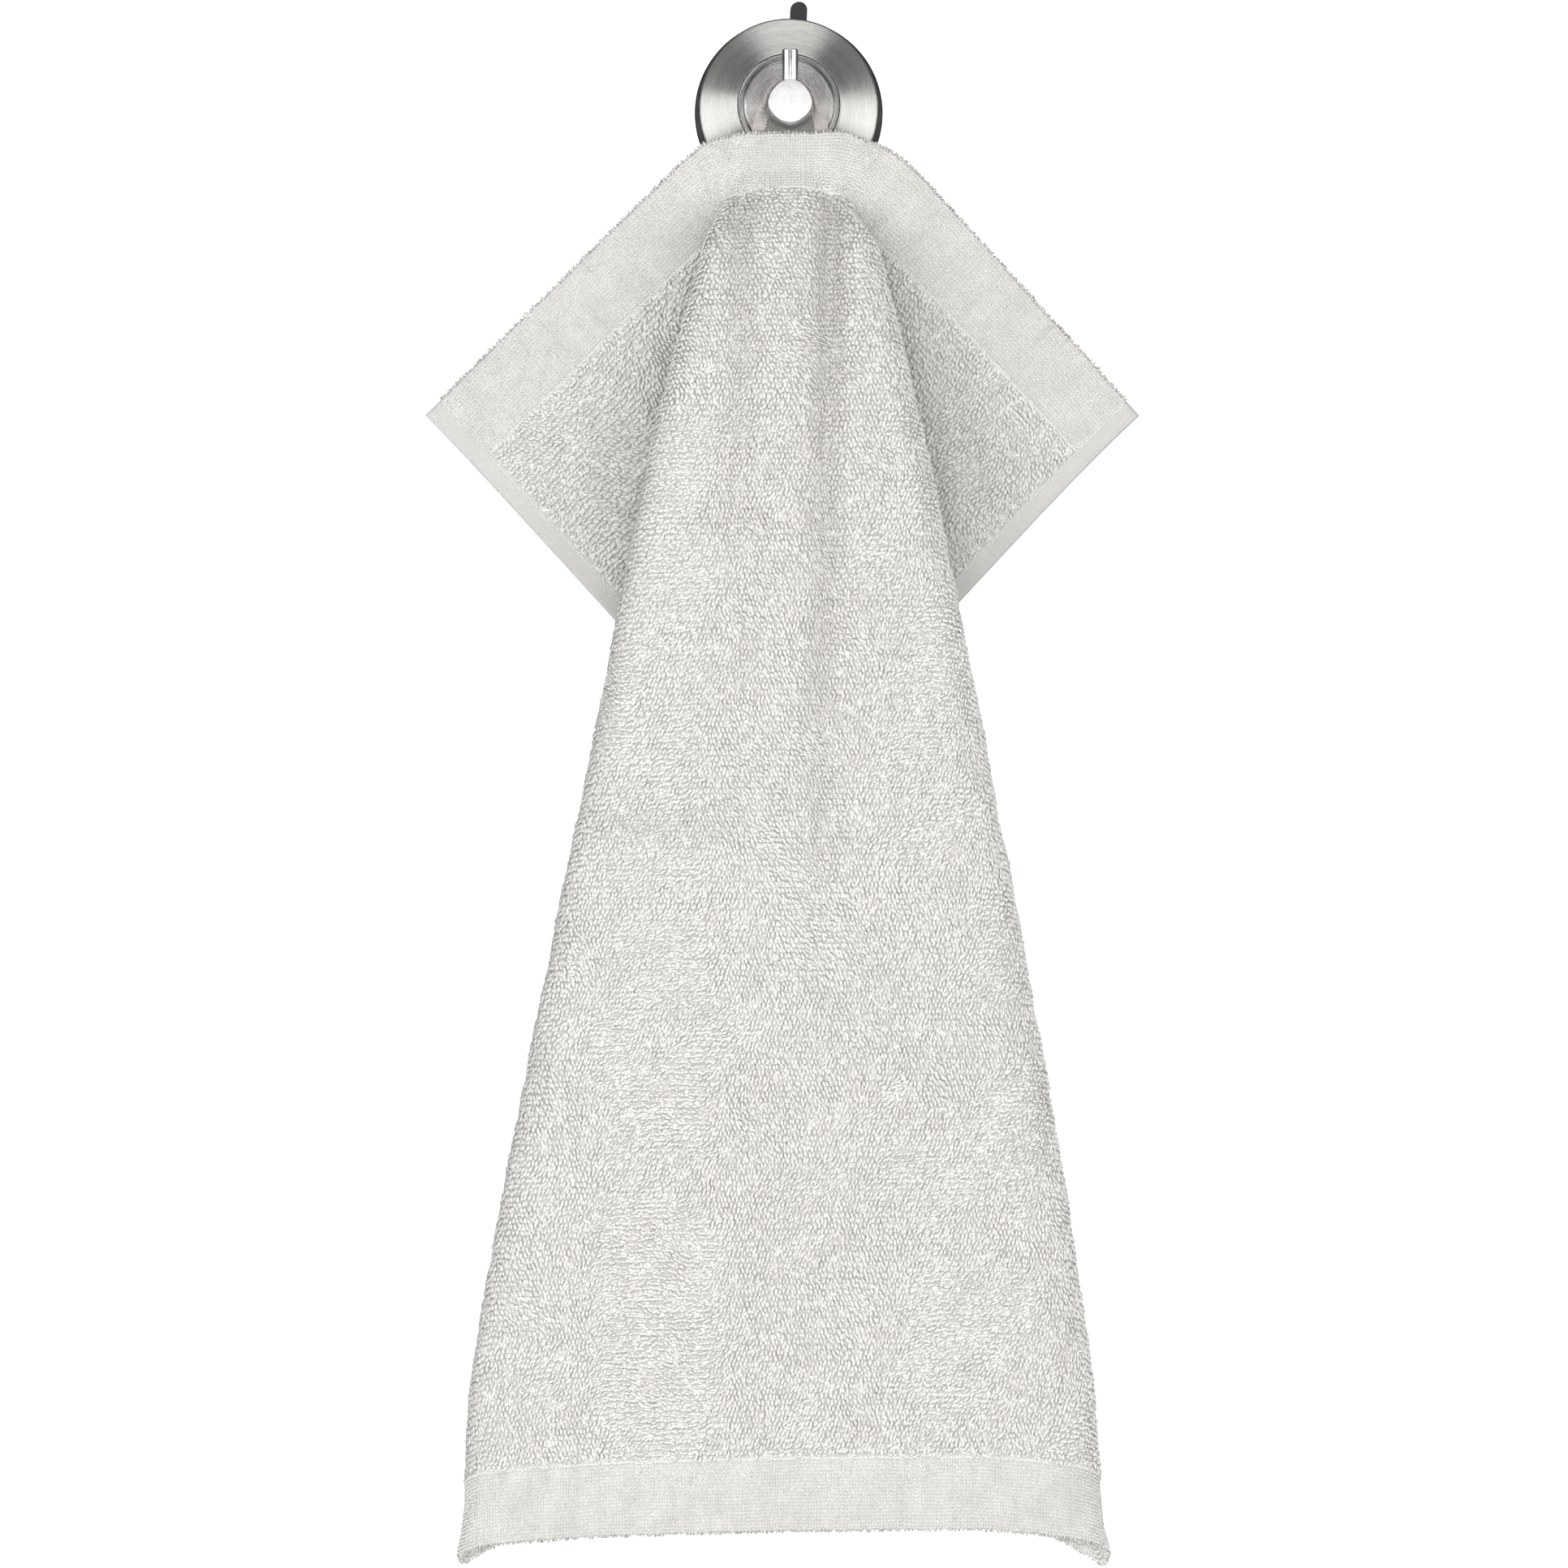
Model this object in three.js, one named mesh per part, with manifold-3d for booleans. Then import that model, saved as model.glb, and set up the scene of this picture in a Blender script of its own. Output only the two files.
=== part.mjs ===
// A guest towel hanging by its tape loop from a round wall hook with a short peg. Millimetres. +X is
// right, +Y points into the wall and +Z is up. The origin is the middle of the hook's flat back.
import * as THREE from "three";
import { mergeVertices } from "three/addons/utils/BufferGeometryUtils.js";
import Module from "manifold-3d";

const wasm = await Module();
wasm.setup();

const GAP = 0.3; // between pieces that touch
const DEG = Math.PI / 180;

// The hook: a rubber suction pad behind a dished steel cover, a peg and a stop pin.
const PAD_RADIUS = 33.8;
const PAD_SHIFT = -0.5; // the soft pad sits a little to the left of the peg and below it
const PAD_LIFT = -1;
const PAD_RIM = 3.6; // thickness of the pad at its rim
const PAD_EDGE = 0.8; // bevel on the pad's edges
const PAD_BOSS_RADIUS = 11;
const PAD_BOSS_DEPTH = 12;
const TAB_WIDTH = 6.2;
const TAB_THICK = 2.4;
const TAB_OFF = 0.4; // the pull tab lies this far off the wall
const TAB_ROOT = 27.8; // the tab starts inside the pad, this far above the peg's axis
const TAB_TOP = 39.5; // and ends in a round this far above it
const TAB_SHIFT = 3.2;
const TAB_LEAN = 2 * DEG;
const COVER_RADIUS = 32.2;
const COVER_SHIFT = -0.5; // the cover's middle is a little to the left of the peg and above it
const COVER_LIFT = 0.4;
const COVER_BACK = PAD_RIM + GAP;
const COVER_FRONT = 16; // how far the cover's flat middle stands off the wall
const RING_RADIUS = 16.8;
const RING_STEP = 1.7; // width of the groove round the middle of the cover
// The cover's outline from its rim to its middle: radius and distance off the wall.
const COVER_OUTSIDE = [
  { radius: COVER_RADIUS, off: COVER_BACK },
  { radius: COVER_RADIUS, off: 4.6 },
  { radius: 31.6, off: 5.2 },
  { radius: 27.5, off: 7.9 },
  { radius: 22.5, off: 11.4 },
  { radius: RING_RADIUS + 0.8, off: 15 },
  { radius: RING_RADIUS, off: 14.7 },
  { radius: RING_RADIUS - 0.3, off: 14.1 },
  { radius: RING_RADIUS - RING_STEP + 0.4, off: 14.1 },
  { radius: RING_RADIUS - RING_STEP, off: 15.3 },
  { radius: RING_RADIUS - RING_STEP - 0.6, off: 15.7 },
  { radius: 7.9, off: COVER_FRONT },
  { radius: 0, off: COVER_FRONT },
];
const COVER_INSIDE = [
  { radius: 0, off: 13.2 },
  { radius: 15.1, off: 12.9 },
  { radius: 22, off: 9.9 },
  { radius: 27, off: 6.5 },
  { radius: 30.6, off: COVER_BACK },
];
const PEG_RADIUS = 7.9;
const PEG_END = 33;
const PEG_EDGE = 0.5;
const PIN_RADIUS = 2.8;
const PIN_TOP = 19.1;
const PIN_Y = -27.4;
const PIN_EDGE = 0.3;
const PIN_HOLE = 3.5; // depth of the pin's hole below the top of the peg
const PIN_STEPS = 36;
const ROUND_STEPS = 72;

// The tape loop, sewn behind the towel's top edge.
const TAPE_WIDTH = 5;
const TAPE_THICK = 1.5;
const TAPE_Y = -20.2;
const TAPE_SEWN_Y = -19.6;
const TAPE_SPREAD = 11.4; // from the middle to each end where it is sewn on
const TAPE_LOW = -24;
const TAPE_RIDE = 0.45; // how far the tape stays off the peg
const TAPE_LEAVES = 12 * DEG; // it leaves the peg this far above the peg's middle
const TAPE_TURNED = 0.62; // share of a leg along which it turns flat against the towel
const TAPE_ARC_STEPS = 14;
const TAPE_LEG_STEPS = 12;

// The towel: flat size, half thicknesses and hems.
const WIDTH = 338;
const LENGTH = 500;
const TOP_Z = -8.9; // the top edge, before it dips under the peg
const HALF_PILE = 2.1;
const HALF_BAND = 1.4;
const HALF_HEM = 1.2;
const BAND_WIDTH = 26; // plain woven band at each end
const HEM_WIDTH = 7.5; // turned side hem
const EDGE_SOFT = 3; // distance over which one thickness becomes the next

// Each side of the top edge drops from a point a little off the middle. Below that point the spare cloth
// is tucked in behind the front: it turns back, runs inward, and turns out again into the side wing.
// give and bias are how much the wings have stretched along the top edge and across it.
const SIDES = {
  left: { sign: -1, hinge: 26.4, tuck: 44 * DEG, archDrop: 3.4, give: 0.016, bias: 0.05, column: "left" },
  right: { sign: 1, hinge: 31, tuck: 47 * DEG, archDrop: 5.2, give: 0, bias: 0.12, column: "right" },
};
const ARCH_WIDE = 9;
const PEG_DIP = 1.3; // the top edge dips below the peg
const PEG_DIP_FLAT = 8; // by the same amount this far to each side
const PEG_DIP_END = 22;
const ARCH_FADE = 18; // the rounding of the top edge fades over this distance down the cloth
const CREASE_CLEAR = 6; // the inner creases stay this far from the middle
const WING_END = 180; // below this the side hems lie behind the front
const FLAP_LOOSENS = 220; // below this the tuck opens
const FLAP_FREE = 350; // and from here down it is a plain turned-back flap

// The front at each distance r down the cloth. left and right: half widths. front and wing: how deep the
// front and the side wings lie. sink: cloth length used up by the slope of the front.
const FRONT_ROWS = [
  { r: 0, left: 22, right: 21, front: -22.2, wing: -22.2, sink: 0 },
  { r: 12, left: 22, right: 21, front: -24.2, wing: -22, sink: 0.3 },
  { r: 22, left: 22, right: 20.5, front: -29, wing: -21.6, sink: 1.4 },
  { r: 32, left: 23.4, right: 21.5, front: -35.5, wing: -21, sink: 3 },
  { r: 45, left: 28.6, right: 28.6, front: -42, wing: -20, sink: 4.2 },
  { r: 65, left: 33.6, right: 33.8, front: -47.5, wing: -19, sink: 5.1 },
  { r: 100, left: 43.4, right: 42.2, front: -55, wing: -18, sink: 6 },
  { r: 150, left: 54, right: 52.9, front: -62, wing: -17, sink: 6.5 },
  { r: 200, left: 63.3, right: 62.6, front: -66, wing: -16, sink: 6.6 },
  { r: 300, left: 83, right: 81.2, front: -67, wing: -14, sink: 6.6 },
  { r: 400, left: 103, right: 98.6, front: -64, wing: -12, sink: 6.6 },
  { r: 460, left: 112.8, right: 106.8, front: -62, wing: -12, sink: 6.6 },
  { r: 492, left: 114.8, right: 109.4, front: -61, wing: -12, sink: 6.6 },
  { r: 530, left: 121, right: 118, front: -60, wing: -12, sink: 6.6 },
];
// The tuck at each distance r. turn: how far the fold turns, in degrees. left and right: length of cloth
// in the outer roll of that side. back: the same for the inner roll.
const TUCK_ROWS = [
  { r: 0, turn: 8, left: 13, right: 13, back: 13 },
  { r: 12, turn: 24, left: 13, right: 13, back: 13 },
  { r: 22, turn: 66, left: 12, right: 12, back: 12 },
  { r: 32, turn: 116, left: 12, right: 13, back: 11 },
  { r: 45, turn: 142, left: 13, right: 15, back: 12 },
  { r: 65, turn: 151, left: 14, right: 18, back: 14 },
  { r: 100, turn: 157, left: 18, right: 22, back: 18 },
  { r: 150, turn: 158, left: 22, right: 28, back: 20 },
  { r: 200, turn: 158, left: 24, right: 32, back: 20 },
  { r: 300, turn: 157, left: 27, right: 38, back: 20 },
  { r: 400, turn: 155, left: 29, right: 42, back: 20 },
  { r: 460, turn: 153, left: 30, right: 44, back: 20 },
  { r: 492, turn: 152, left: 30, right: 43, back: 20 },
  { r: 530, turn: 150, left: 30, right: 42, back: 20 },
];
const TUCK_STARTS = 95 * DEG; // the fold has a straight run once it turns further than this
const TUCK_FULL = 135 * DEG;

// Soft troughs (depth above 0) and ridges in the front, each running down the cloth at a distance s off
// the middle.
const CREASES = [
  { s: 14.5, drift: -0.02, depth: 6.4, wide: 5.5, from: 19, full: 31, fade: 150, end: 340 },
  { s: -17.5, drift: 0, depth: 4, wide: 5, from: 19, full: 31, fade: 80, end: 180 },
  { s: 0, drift: 0, depth: -1.6, wide: 7, from: 24, full: 45, fade: 120, end: 260 },
  { s: 24, drift: 0.05, depth: -1.6, wide: 6, from: 26, full: 45, fade: 110, end: 240 },
];
// Dents in the front, at (s, r): two small pinches under the top band and two faint cross dents.
const DENTS = [
  { s: -21, r: 27, depth: 1.2, along: 7, across: 5 },
  { s: 17, r: 31, depth: 1.2, along: 7, across: 5 },
  { s: -16, r: 146, depth: 1, along: 22, across: 5 },
  { s: -44, r: 253, depth: 1.2, along: 38, across: 6 },
];

// How far the bottom edge drops, at distances s off the middle.
const BOTTOM_DROP = [
  { s: 0, left: 0, right: 0 },
  { s: 60, left: 1.8, right: -0.4 },
  { s: 90, left: 3.8, right: 1.8 },
  { s: 108, left: 5.6, right: 4.6 },
  { s: 118, left: 8.2, right: 7 },
  { s: 128, left: 9.8, right: 9.8 },
  { s: 140, left: 2.5, right: 3 },
  { s: 152, left: -6.5, right: -6 },
  { s: 172, left: -18, right: -18 },
];
const DROP_FROM = 270;

const BELLY = 3.5; // how far the middle of the front stands ahead of its sides
const BELLY_FROM = 60;
const BELLY_FULL = 200;
const WING_BACK = 6.5; // how far the corners lie back toward the wall
const WING_BACK_FROM = 45;
const WING_BACK_FULL = 145;
const CREASE_EASES = 0.55; // share of a crease's depth lost where it begins to fade

// Rows down the towel and columns across it; the columns crowd where the cloth turns.
const ROW_STEPS = [
  { upTo: 44, step: 5.5 },
  { upTo: 114, step: 10 },
  { upTo: LENGTH, step: 16 },
];
const MIDDLE_HALF = 28;
const MIDDLE_STEP = 4;
const SIDE_COLUMNS = 22;
const CROWD_SAMPLES = 280;
const ROLL_CROWDING = 3.2;

const steel = () => new THREE.MeshStandardMaterial({ color: 0xc4c4c2, roughness: 0.32, metalness: 1 });
const rubber = () => new THREE.MeshStandardMaterial({ color: 0x1c1d1f, roughness: 0.7, metalness: 0 });
const cotton = (color) => new THREE.MeshStandardMaterial({ color, roughness: 1, metalness: 0 });

function smooth(a, b, x) {
  const t = Math.min(1, Math.max(0, (x - a) / (b - a)));
  return t * t * (3 - 2 * t);
}

// A smooth curve through one column of a table, read at x; the rows are in order of key.
function readTable(table, key, name, x) {
  const last = table.length - 1;
  if (x <= table[0][key]) return table[0][name];
  if (x >= table[last][key]) return table[last][name];
  let i = 0;
  while (table[i + 1][key] < x) i++;
  const gap = (j) => table[j + 1][key] - table[j][key];
  const rise = (j) => (table[j + 1][name] - table[j][name]) / gap(j);
  const slope = (j) => {
    if (j === 0 || j === last) return rise(j === 0 ? 0 : last - 1);
    const before = rise(j - 1);
    const after = rise(j);
    return before * after <= 0 ? 0 : (2 * before * after) / (before + after);
  };
  const h = gap(i);
  const t = (x - table[i][key]) / h;
  const a = table[i][name];
  const b = table[i + 1][name];
  const keepA = 2 * t ** 3 - 3 * t ** 2 + 1;
  const pushA = t ** 3 - 2 * t ** 2 + t;
  const pushB = t ** 3 - t ** 2;
  return keepA * a + (1 - keepA) * b + h * (pushA * slope(i) + pushB * slope(i + 1));
}

// The measures of one side's tuck at a distance r down the cloth: where it starts and ends along the
// cloth, the radii of its two rolls, the straight run between them, how tightly the spare cloth is
// packed into it, and how much its depth is scaled to bring the wing to its place.
function tuckAt(side, r) {
  const front = (name) => readTable(FRONT_ROWS, "r", name, r);
  const tuck = (name) => readTable(TUCK_ROWS, "r", name, r);
  const turn = tuck("turn") * DEG;
  const out = tuck(side.column);
  const back = tuck("back");
  const outRadius = out / turn;
  const backRadius = back / turn;
  const halfWidth = front(side.column);
  const start = halfWidth - outRadius * Math.sin(Math.min(turn, 90 * DEG));
  const spare = side.tuck * r;
  const free = (spare - (out + back) * (1 - Math.sin(turn) / turn)) / (1 - Math.cos(turn));
  const room = halfWidth - CREASE_CLEAR - ((out + back) * (1 - Math.sin(turn))) / turn;
  const most = room / Math.max(0.2, -Math.cos(turn));
  const straight = Math.max(0, Math.min(free, most)) * smooth(TUCK_STARTS, TUCK_FULL, turn);
  const length = out + straight + back;
  const across = (outRadius + backRadius) * Math.sin(turn) + straight * Math.cos(turn);
  const squeezed = length / (across + spare);
  const pack = squeezed + (1 - squeezed) * smooth(FLAP_LOOSENS, FLAP_FREE, r);
  const deep = (outRadius + backRadius) * (1 - Math.cos(turn)) + straight * Math.sin(turn);
  const flatten = (front("wing") - front("front")) / deep;
  const wing = start + length / pack;
  return { turn, out, back, outRadius, backRadius, start, straight, length, pack, flatten, wing };
}

// The cross-section of one side: how far out and how far back the cloth is, s along it from the middle.
function sectionPoint(k, s) {
  if (s <= k.start) return [s, 0];
  const t = Math.min(k.length, (s - k.start) * k.pack);
  if (t <= k.out) {
    const bend = (k.turn * t) / k.out;
    return [k.start + k.outRadius * Math.sin(bend), k.flatten * k.outRadius * (1 - Math.cos(bend))];
  }
  const run = Math.min(k.straight, t - k.out);
  let across = k.start + k.outRadius * Math.sin(k.turn) + run * Math.cos(k.turn);
  let depth = k.outRadius * (1 - Math.cos(k.turn)) + run * Math.sin(k.turn);
  const rest = t - k.out - run;
  if (rest > 0) {
    const bend = k.turn * (1 - rest / k.back);
    across += k.backRadius * (Math.sin(k.turn) - Math.sin(bend));
    depth += k.backRadius * (Math.cos(bend) - Math.cos(k.turn));
  }
  return [across + Math.max(0, s - k.wing), k.flatten * depth];
}

// Where the flat cloth's point (u across from the middle, v down from the top edge) lies on the section
// rows.
function flatToSection(side, u, v) {
  const beyond = Math.max(0, Math.abs(u) - side.hinge);
  const r = Math.hypot(beyond, v);
  const s = beyond === 0 ? Math.abs(u) : side.hinge + r * Math.atan2(beyond, v);
  return [r, s];
}

function creaseDepth(s, r) {
  let sum = 0;
  for (const c of CREASES) {
    const middle = c.s + c.drift * (r - c.full);
    const eased = 1 - CREASE_EASES * smooth(c.full, c.fade, r);
    const strength = smooth(c.from, c.full, r) * eased * (1 - smooth(c.fade, c.end, r));
    sum += c.depth * strength * Math.exp(-(((s - middle) / c.wide) ** 2));
  }
  for (const d of DENTS) {
    sum += d.depth * Math.exp(-(((s - d.s) / d.along) ** 2) - ((r - d.r) / d.across) ** 2);
  }
  return sum;
}

// The middle of the cloth in space.
function clothPoint(u, v) {
  const side = u < 0 ? SIDES.left : SIDES.right;
  const [r, s] = flatToSection(side, u, v);
  const k = tuckAt(side, r);
  const [across, depth] = sectionPoint(k, s);
  const inTuck = smooth(k.start, k.wing, s);
  const down = Math.cos((s - side.hinge) / Math.max(r, side.hinge));
  const stretch = 1 + (side.give + side.bias * down * down) * inTuck * (1 - smooth(WING_END, FLAP_FREE, r));
  const reach = (r - readTable(FRONT_ROWS, "r", "sink", r) * (1 - inTuck)) * stretch;
  let x = across;
  let z = -reach;
  if (across > side.hinge) {
    const swing = (across - side.hinge) / Math.max(r, 1e-6);
    x = side.hinge + reach * Math.sin(swing);
    z = -reach * Math.cos(swing);
  }
  const front = Math.min(1, s / k.start);
  let y = readTable(FRONT_ROWS, "r", "front", r) + depth;
  y += BELLY * smooth(BELLY_FROM, BELLY_FULL, r) * front * front;
  y += creaseDepth(side.sign * s, r) * (1 - smooth(k.start, k.start + k.out, s));
  const inWing = smooth(k.wing - k.back, k.wing, s);
  y += WING_BACK * smooth(WING_BACK_FROM, WING_BACK_FULL, across) * inWing;
  const rounding = side.archDrop * Math.exp(-(((x - side.hinge) / ARCH_WIDE) ** 2));
  z -= (rounding + PEG_DIP * (1 - smooth(PEG_DIP_FLAT, PEG_DIP_END, x))) * Math.exp(-r / ARCH_FADE);
  z -= readTable(BOTTOM_DROP, "s", side.column, s) * smooth(DROP_FROM, LENGTH, v);
  return new THREE.Vector3(side.sign * x, y, TOP_Z + z);
}

function halfThickness(u, v) {
  const fromEnd = Math.min(v, LENGTH - v);
  const fromSide = WIDTH / 2 - Math.abs(u);
  const body = HALF_BAND + (HALF_PILE - HALF_BAND) * smooth(BAND_WIDTH - EDGE_SOFT, BAND_WIDTH, fromEnd);
  return HALF_HEM + (body - HALF_HEM) * smooth(HEM_WIDTH - EDGE_SOFT, HEM_WIDTH, fromSide);
}

function clothNormal(u, v) {
  const d = 0.4;
  const u0 = Math.max(-WIDTH / 2, u - d);
  const u1 = Math.min(WIDTH / 2, u + d);
  const v0 = Math.max(0, v - d);
  const v1 = Math.min(LENGTH, v + d);
  const across = clothPoint(u1, v).sub(clothPoint(u0, v));
  const down = clothPoint(u, v1).sub(clothPoint(u, v0));
  return down.cross(across).normalize();
}

function rowPlaces() {
  const rows = [0];
  for (const { upTo, step } of ROW_STEPS) {
    const from = rows[rows.length - 1];
    const count = Math.round((upTo - from) / step);
    for (let i = 1; i <= count; i++) rows.push(from + ((upTo - from) * i) / count);
  }
  return rows;
}

// Places across one row of the cloth: even in the middle of the front, closer together where it rolls over.
function columnPlaces(v) {
  const places = [];
  for (let u = -MIDDLE_HALF; u <= MIDDLE_HALF; u += MIDDLE_STEP) places.push(u);
  for (const side of [SIDES.left, SIDES.right]) {
    const reach = WIDTH / 2 - MIDDLE_HALF;
    const total = [0];
    for (let i = 1; i <= CROWD_SAMPLES; i++) {
      const u = side.sign * (MIDDLE_HALF + (reach * (i - 0.5)) / CROWD_SAMPLES);
      const [r, s] = flatToSection(side, u, v);
      const k = tuckAt(side, r);
      const outEnd = k.start + k.out;
      const outRoll = smooth(k.start - 3, k.start + 1, s) * (1 - smooth(outEnd, outEnd + 4, s));
      const backStart = k.wing - k.back;
      const backRoll = smooth(backStart - 4, backStart, s) * (1 - smooth(k.wing - 1, k.wing + 3, s));
      total.push(total[i - 1] + 1 + ROLL_CROWDING * (outRoll + backRoll) * smooth(14, 34, r));
    }
    let i = 0;
    for (let c = 1; c <= SIDE_COLUMNS; c++) {
      const goal = (total[CROWD_SAMPLES] * c) / SIDE_COLUMNS;
      while (i < CROWD_SAMPLES - 1 && total[i + 1] < goal) i++;
      const part = (i + (goal - total[i]) / (total[i + 1] - total[i])) / CROWD_SAMPLES;
      places.push(side.sign * (MIDDLE_HALF + reach * Math.min(1, part)));
    }
  }
  return places.sort((a, b) => a - b);
}

// A closed sheet from a grid of front points and one of back points.
function closedSheet(front, back) {
  const rows = front.length;
  const cols = front[0].length;
  const positions = [];
  for (const p of [...front, ...back].flat()) positions.push(p.x, p.y, p.z);
  const at = (layer, i, j) => layer * rows * cols + i * cols + j;
  const index = [];
  const quad = (a, b, c, d) => index.push(a, b, c, a, c, d);
  for (let i = 0; i < rows - 1; i++) {
    for (let j = 0; j < cols - 1; j++) {
      quad(at(0, i, j), at(0, i + 1, j), at(0, i + 1, j + 1), at(0, i, j + 1));
      quad(at(1, i, j), at(1, i, j + 1), at(1, i + 1, j + 1), at(1, i + 1, j));
    }
  }
  for (let j = 0; j < cols - 1; j++) {
    quad(at(0, 0, j), at(0, 0, j + 1), at(1, 0, j + 1), at(1, 0, j));
    quad(at(0, rows - 1, j + 1), at(0, rows - 1, j), at(1, rows - 1, j), at(1, rows - 1, j + 1));
  }
  for (let i = 0; i < rows - 1; i++) {
    quad(at(0, i + 1, 0), at(0, i, 0), at(1, i, 0), at(1, i + 1, 0));
    quad(at(0, i, cols - 1), at(0, i + 1, cols - 1), at(1, i + 1, cols - 1), at(1, i, cols - 1));
  }
  const geometry = new THREE.BufferGeometry();
  geometry.setAttribute("position", new THREE.Float32BufferAttribute(positions, 3));
  geometry.setIndex(index);
  geometry.computeVertexNormals();
  return geometry;
}

function towelGeometry() {
  const front = [];
  const back = [];
  for (const v of rowPlaces()) {
    const frontRow = [];
    const backRow = [];
    for (const u of columnPlaces(v)) {
      const offset = clothNormal(u, v).multiplyScalar(halfThickness(u, v));
      const middle = clothPoint(u, v);
      frontRow.push(middle.clone().add(offset));
      backRow.push(middle.clone().sub(offset));
    }
    front.push(frontRow);
    back.push(backRow);
  }
  return closedSheet(front, back);
}

// The tape's line: up one leg, over the peg and down the other leg. Its flat side turns from the peg to
// the towel.
function tapeStations() {
  const ride = PEG_RADIUS + TAPE_RIDE + TAPE_THICK / 2;
  const stations = [];
  const leg = (sign, order) => {
    const leaves = [sign * ride * Math.cos(TAPE_LEAVES), TAPE_Y, ride * Math.sin(TAPE_LEAVES)];
    const from = new THREE.Vector3(...leaves);
    const to = new THREE.Vector3(sign * TAPE_SPREAD, TAPE_SEWN_Y, TOP_Z - 1);
    const end = new THREE.Vector3(sign * TAPE_SPREAD, TAPE_SEWN_Y, TAPE_LOW);
    const half = from.clone().lerp(to, 0.5);
    const line = new THREE.CatmullRomCurve3([from, half, to, end], false, "centripetal");
    for (const i of order) {
      const t = i / TAPE_LEG_STEPS;
      const twist = 90 * DEG * smooth(0, TAPE_TURNED, t);
      const flat = new THREE.Vector3(sign * Math.sin(twist), -Math.cos(twist), 0);
      stations.push({ at: line.getPoint(t), flat });
    }
  };
  const steps = Array.from({ length: TAPE_LEG_STEPS }, (_, i) => i + 1);
  leg(-1, [...steps].reverse());
  for (let i = 0; i <= TAPE_ARC_STEPS; i++) {
    const angle = TAPE_LEAVES + ((180 * DEG - 2 * TAPE_LEAVES) * i) / TAPE_ARC_STEPS;
    const at = new THREE.Vector3(-ride * Math.cos(angle), TAPE_Y, ride * Math.sin(angle));
    stations.push({ at, flat: new THREE.Vector3(0, -1, 0) });
  }
  leg(1, steps);
  return stations;
}

function tapeGeometry() {
  const stations = tapeStations();
  const front = [];
  const back = [];
  stations.forEach(({ at, flat }, i) => {
    const before = stations[Math.max(0, i - 1)].at;
    const after = stations[Math.min(stations.length - 1, i + 1)].at;
    const along = after.clone().sub(before).normalize();
    const wide = flat.clone().addScaledVector(along, -flat.dot(along)).normalize();
    const thick = along.clone().cross(wide).normalize().multiplyScalar(TAPE_THICK / 2);
    const edges = [-0.5, 0.5].map((f) => at.clone().addScaledVector(wide, f * TAPE_WIDTH));
    front.push(edges.map((p) => p.clone().add(thick)));
    back.push(edges.map((p) => p.clone().sub(thick)));
  });
  return closedSheet(front, back);
}

// A profile of radii and distances off the wall, turned about the hook's axis.
function turned(profile) {
  const points = profile.map(({ radius, off }) => new THREE.Vector2(radius, off));
  return new THREE.LatheGeometry(points, ROUND_STEPS).rotateX(180 * DEG);
}

function solidFrom(geometry) {
  const plain = geometry.index ? geometry.clone() : mergeVertices(geometry);
  for (const name of Object.keys(plain.attributes)) if (name !== "position") plain.deleteAttribute(name);
  const merged = mergeVertices(plain, 1e-4);
  const vertProperties = new Float32Array(merged.attributes.position.array);
  const triVerts = new Uint32Array(merged.index.array);
  return new wasm.Manifold(new wasm.Mesh({ numProp: 3, vertProperties, triVerts }));
}

function geometryFrom(solid) {
  const { vertProperties, triVerts } = solid.getMesh();
  const geometry = new THREE.BufferGeometry();
  geometry.setAttribute("position", new THREE.BufferAttribute(vertProperties, 3));
  geometry.setIndex(new THREE.BufferAttribute(triVerts, 1));
  geometry.computeVertexNormals();
  return geometry;
}

function padGeometry() {
  const pad = turned([
    { radius: 0, off: 0 },
    { radius: PAD_RADIUS - PAD_EDGE, off: 0 },
    { radius: PAD_RADIUS, off: PAD_EDGE },
    { radius: PAD_RADIUS, off: PAD_RIM - PAD_EDGE },
    { radius: PAD_RADIUS - PAD_EDGE, off: PAD_RIM },
    { radius: PAD_BOSS_RADIUS, off: PAD_RIM },
    { radius: PAD_BOSS_RADIUS, off: PAD_BOSS_DEPTH },
    { radius: 0, off: PAD_BOSS_DEPTH },
  ]);
  const outline = new THREE.Shape();
  const half = TAB_WIDTH / 2;
  outline.moveTo(-half, TAB_ROOT);
  outline.lineTo(half, TAB_ROOT);
  outline.lineTo(half, TAB_TOP - half);
  outline.absarc(0, TAB_TOP - half, half, 0, Math.PI, false);
  outline.closePath();
  const flat = { depth: TAB_THICK, bevelEnabled: false, curveSegments: 10 };
  const tab = new THREE.ExtrudeGeometry(outline, flat);
  tab.rotateX(90 * DEG).rotateY(TAB_LEAN).translate(TAB_SHIFT - TAB_TOP * Math.sin(TAB_LEAN), -TAB_OFF, 0);
  pad.translate(PAD_SHIFT, 0, PAD_LIFT);
  return geometryFrom(solidFrom(pad).add(solidFrom(tab)));
}

function coverGeometry() {
  return turned([...COVER_INSIDE, ...COVER_OUTSIDE]).translate(COVER_SHIFT, 0, COVER_LIFT);
}

function pegGeometry() {
  const start = COVER_FRONT + GAP;
  const body = turned([
    { radius: 0, off: start },
    { radius: PEG_RADIUS, off: start },
    { radius: PEG_RADIUS, off: PEG_END - PEG_EDGE },
    { radius: PEG_RADIUS - PEG_EDGE, off: PEG_END },
    { radius: 0, off: PEG_END },
  ]);
  const depth = PIN_HOLE + 1;
  const hole = new THREE.CylinderGeometry(PIN_RADIUS + GAP, PIN_RADIUS + GAP, depth, PIN_STEPS);
  hole.rotateX(90 * DEG).translate(0, PIN_Y, PEG_RADIUS - PIN_HOLE + depth / 2);
  return geometryFrom(solidFrom(body).subtract(solidFrom(hole)));
}

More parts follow.
